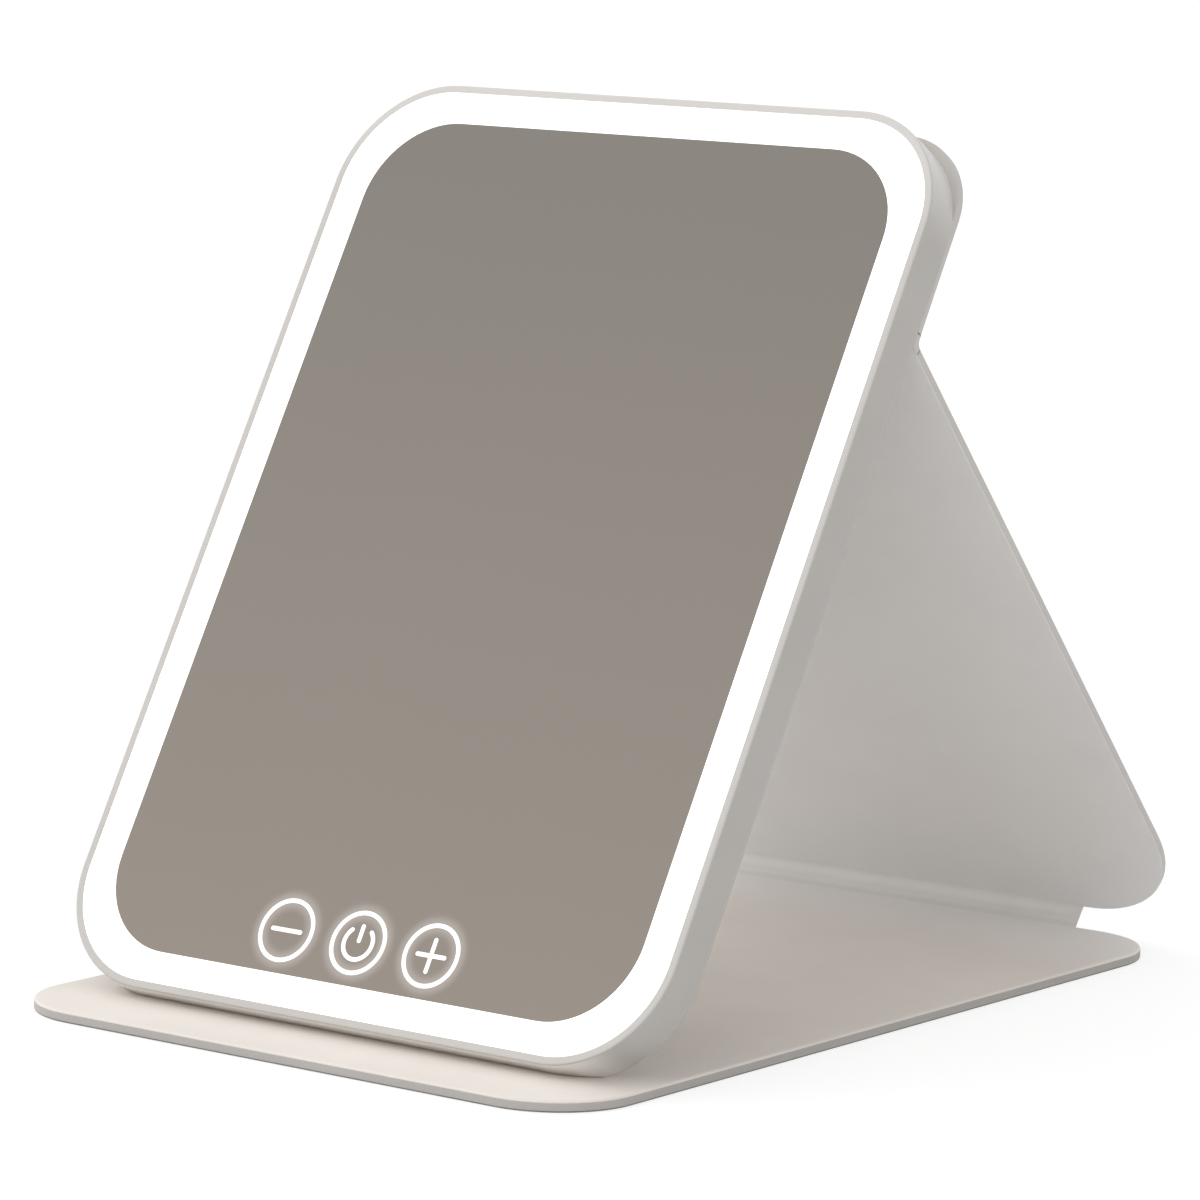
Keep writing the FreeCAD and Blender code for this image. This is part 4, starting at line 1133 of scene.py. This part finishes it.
def power_outline():
    """An open circle of one stroke's width with round ends."""
    start = 90 + POWER_GAP
    end = 450 - POWER_GAP
    middle = POWER_RADIUS - STROKE / 2
    points = arc(POWER_RADIUS, start, end, steps=POWER_STEPS)
    points += arc(STROKE / 2, end, end + 180, turned_point(middle, end))
    points += arc(POWER_RADIUS - STROKE, end, start, steps=POWER_STEPS)
    return points + arc(STROKE / 2, start + 180, start + 360, turned_point(middle, start))


def touch_mark(sign, column, outlines):
    """A sign in its ring, as one thin piece on the front of the glass."""

    def on_mark(x, y, z):
        return on_head(column * ICON_SPACING + x, ICON_Y + y, z)

    inside = arc(RING_RADIUS - STROKE, 0, 360, steps=RING_STEPS)
    outside = arc(RING_RADIUS, 0, 360, steps=RING_STEPS)
    back, front = mark_levels
    corners = ((inside, back), (inside, front), (outside, front), (outside, back))
    ring = [[(*point, level) for point in circle] for circle, level in corners]
    strokes = [lofted("stroke", ring, on_mark, closed=True)]
    for outline in outlines:
        layers = [[(*point, level) for point in outline] for level in mark_levels]
        strokes.append(lofted("stroke", layers, on_mark))
    form = bmesh.new()
    for stroke in strokes:
        form.from_mesh(stroke.data)
        bpy.data.objects.remove(stroke)
    mark_mesh = bpy.data.meshes.new(sign + "_mark")
    form.to_mesh(mark_mesh)
    form.free()
    return finished(sign + "_mark", mark_mesh)


power_bar = [(-across, SIGN_LENGTH["power"] / 2 + up) for up, across in pill(SIGN_LENGTH["power"], STROKE)]
signs = {
    "minus": [pill(SIGN_LENGTH["minus"], STROKE)],
    "power": [power_outline(), power_bar],
    "plus": [plus_outline()],
}
for column, (sign, outlines) in zip((-1, 0, 1), signs.items()):
    mark = touch_mark(sign, column, outlines)
    mark.data.materials.append(marks)
    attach(mark, "head")
    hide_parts(sign + "_icon")

# Stage: a wide white floor, one broad soft lamp from the upper left and a bright room round it,
# brighter on the window's side and a little brighter to the right.
FLOOR_REACH = 6000.0
FLOOR_LEVEL = -0.05
PAPER_LIT = 0.85
PAPER_SEEN = 0.3
PAPER_GLOW = 0.76
WINDOW_STRENGTH = 0.2
WINDOW_SPREAD = math.radians(34)
WINDOW_TILT = math.radians(-59)
SKY_LOW = 0.52
SKY_HIGH = 0.66
SKY_SEEN = 1.0
SKY_PATCHES = (((-0.7, -0.42, 0.58), 1.0), ((0.9, -0.36, 0.05), 0.42))
PATCH_EDGE = 0.3
floor_mesh = bpy.data.meshes.new("floor")
floor_corners = [(-1, -1), (1, -1), (1, 1), (-1, 1)]
floor_mesh.from_pydata(
    [on_table(x * FLOOR_REACH, y * FLOOR_REACH, FLOOR_LEVEL) for x, y in floor_corners],
    [],
    [(0, 1, 2, 3)],
)
floor = bpy.data.objects.new("floor", floor_mesh)
bpy.context.scene.collection.objects.link(floor)


def seen_directly(tree):
    """One for rays from the camera, a reflection or through glass, zero for those that light."""
    rays = wired(tree, "ShaderNodeLightPath")
    first = worked_out(tree, "MAXIMUM", rays.outputs["Is Camera Ray"], rays.outputs["Is Glossy Ray"])
    return worked_out(tree, "MAXIMUM", first, rays.outputs["Is Transmission Ray"])


paper, tree, shader = finish_of("white_paper", (0.9, 0.9, 0.9), 0.9, Specular_IOR_Level=0.0)
seen = seen_directly(tree)
shade = wired(tree, "ShaderNodeMapRange", Value=seen, To_Min=PAPER_LIT, To_Max=PAPER_SEEN)
tree.links.new(shade.outputs["Result"], shader.inputs["Base Color"])
shader.inputs["Emission Color"].default_value = (1, 1, 1, 1)
tree.links.new(worked_out(tree, "MULTIPLY", seen, PAPER_GLOW), shader.inputs["Emission Strength"])
floor_mesh.materials.append(paper)

lamp_data = bpy.data.lights.new("window", "SUN")
lamp_data.energy = WINDOW_STRENGTH
lamp_data.angle = WINDOW_SPREAD
lamp_data.color = (1.0, 0.985, 0.965)
window = bpy.data.objects.new("window", lamp_data)
window.rotation_euler = (0, WINDOW_TILT, 0)
bpy.context.scene.collection.objects.link(window)

sky = bpy.data.worlds.new("sky")
bpy.context.scene.world = sky
sky.use_nodes = True
tree = sky.node_tree
background = tree.nodes["Background"]
background.inputs["Color"].default_value = (1, 1, 1, 1)
seen = seen_directly(tree)
sky_way = wired(tree, "ShaderNodeTexCoord").outputs["Generated"]
height = wired(tree, "ShaderNodeSeparateXYZ", Vector=sky_way)
rising = wired(tree, "ShaderNodeMapRange", Value=height.outputs["Z"], To_Min=SKY_LOW, To_Max=SKY_HIGH)
dome = rising.outputs["Result"]
for way, strength in SKY_PATCHES:
    towards = wired(
        tree, "ShaderNodeVectorMath", {"operation": "DOT_PRODUCT"}, i0=sky_way, i1=Vector(way).normalized()
    )
    patch = wired(
        tree,
        "ShaderNodeMapRange",
        {"interpolation_type": "SMOOTHSTEP"},
        Value=towards.outputs["Value"],
        From_Min=PATCH_EDGE,
        To_Max=strength,
    )
    dome = worked_out(tree, "ADD", dome, patch.outputs["Result"])
level = wired(tree, "ShaderNodeMapRange", Value=seen, To_Min=dome, To_Max=SKY_SEEN)
tree.links.new(level.outputs["Result"], background.inputs["Strength"])

# Camera: to the right of the mirror and a little above it, with a long lens, so that the upright
# edges stay nearly parallel.
YAW = math.radians(36.392)
PITCH = math.radians(-7.962)
ROLL = math.radians(1.491)
FOCAL = 5679.041
FRAME_WIDTH = 1200.0
CAMERA_SPOT = (734.808, -1002.796, 259.538)
SENSOR = 36.0
FURTHEST = 50.0
ahead = Vector((-math.sin(YAW) * math.cos(PITCH), math.cos(YAW) * math.cos(PITCH), math.sin(PITCH)))
level_right = Vector((math.cos(YAW), math.sin(YAW), 0))
level_up = level_right.cross(ahead)
right = level_right * math.cos(ROLL) + level_up * math.sin(ROLL)
upright = level_up * math.cos(ROLL) - level_right * math.sin(ROLL)
view = Matrix((right, upright, -ahead)).transposed().to_4x4()
view.translation = Vector(CAMERA_SPOT) * MM
camera_data = bpy.data.cameras.new("camera")
camera_data.sensor_width = SENSOR
camera_data.lens = FOCAL / FRAME_WIDTH * SENSOR
camera_data.clip_end = FURTHEST
camera = bpy.data.objects.new("camera", camera_data)
camera.matrix_world = view
bpy.context.scene.collection.objects.link(camera)
bpy.context.scene.camera = camera
bpy.context.scene.view_settings.view_transform = "Standard"
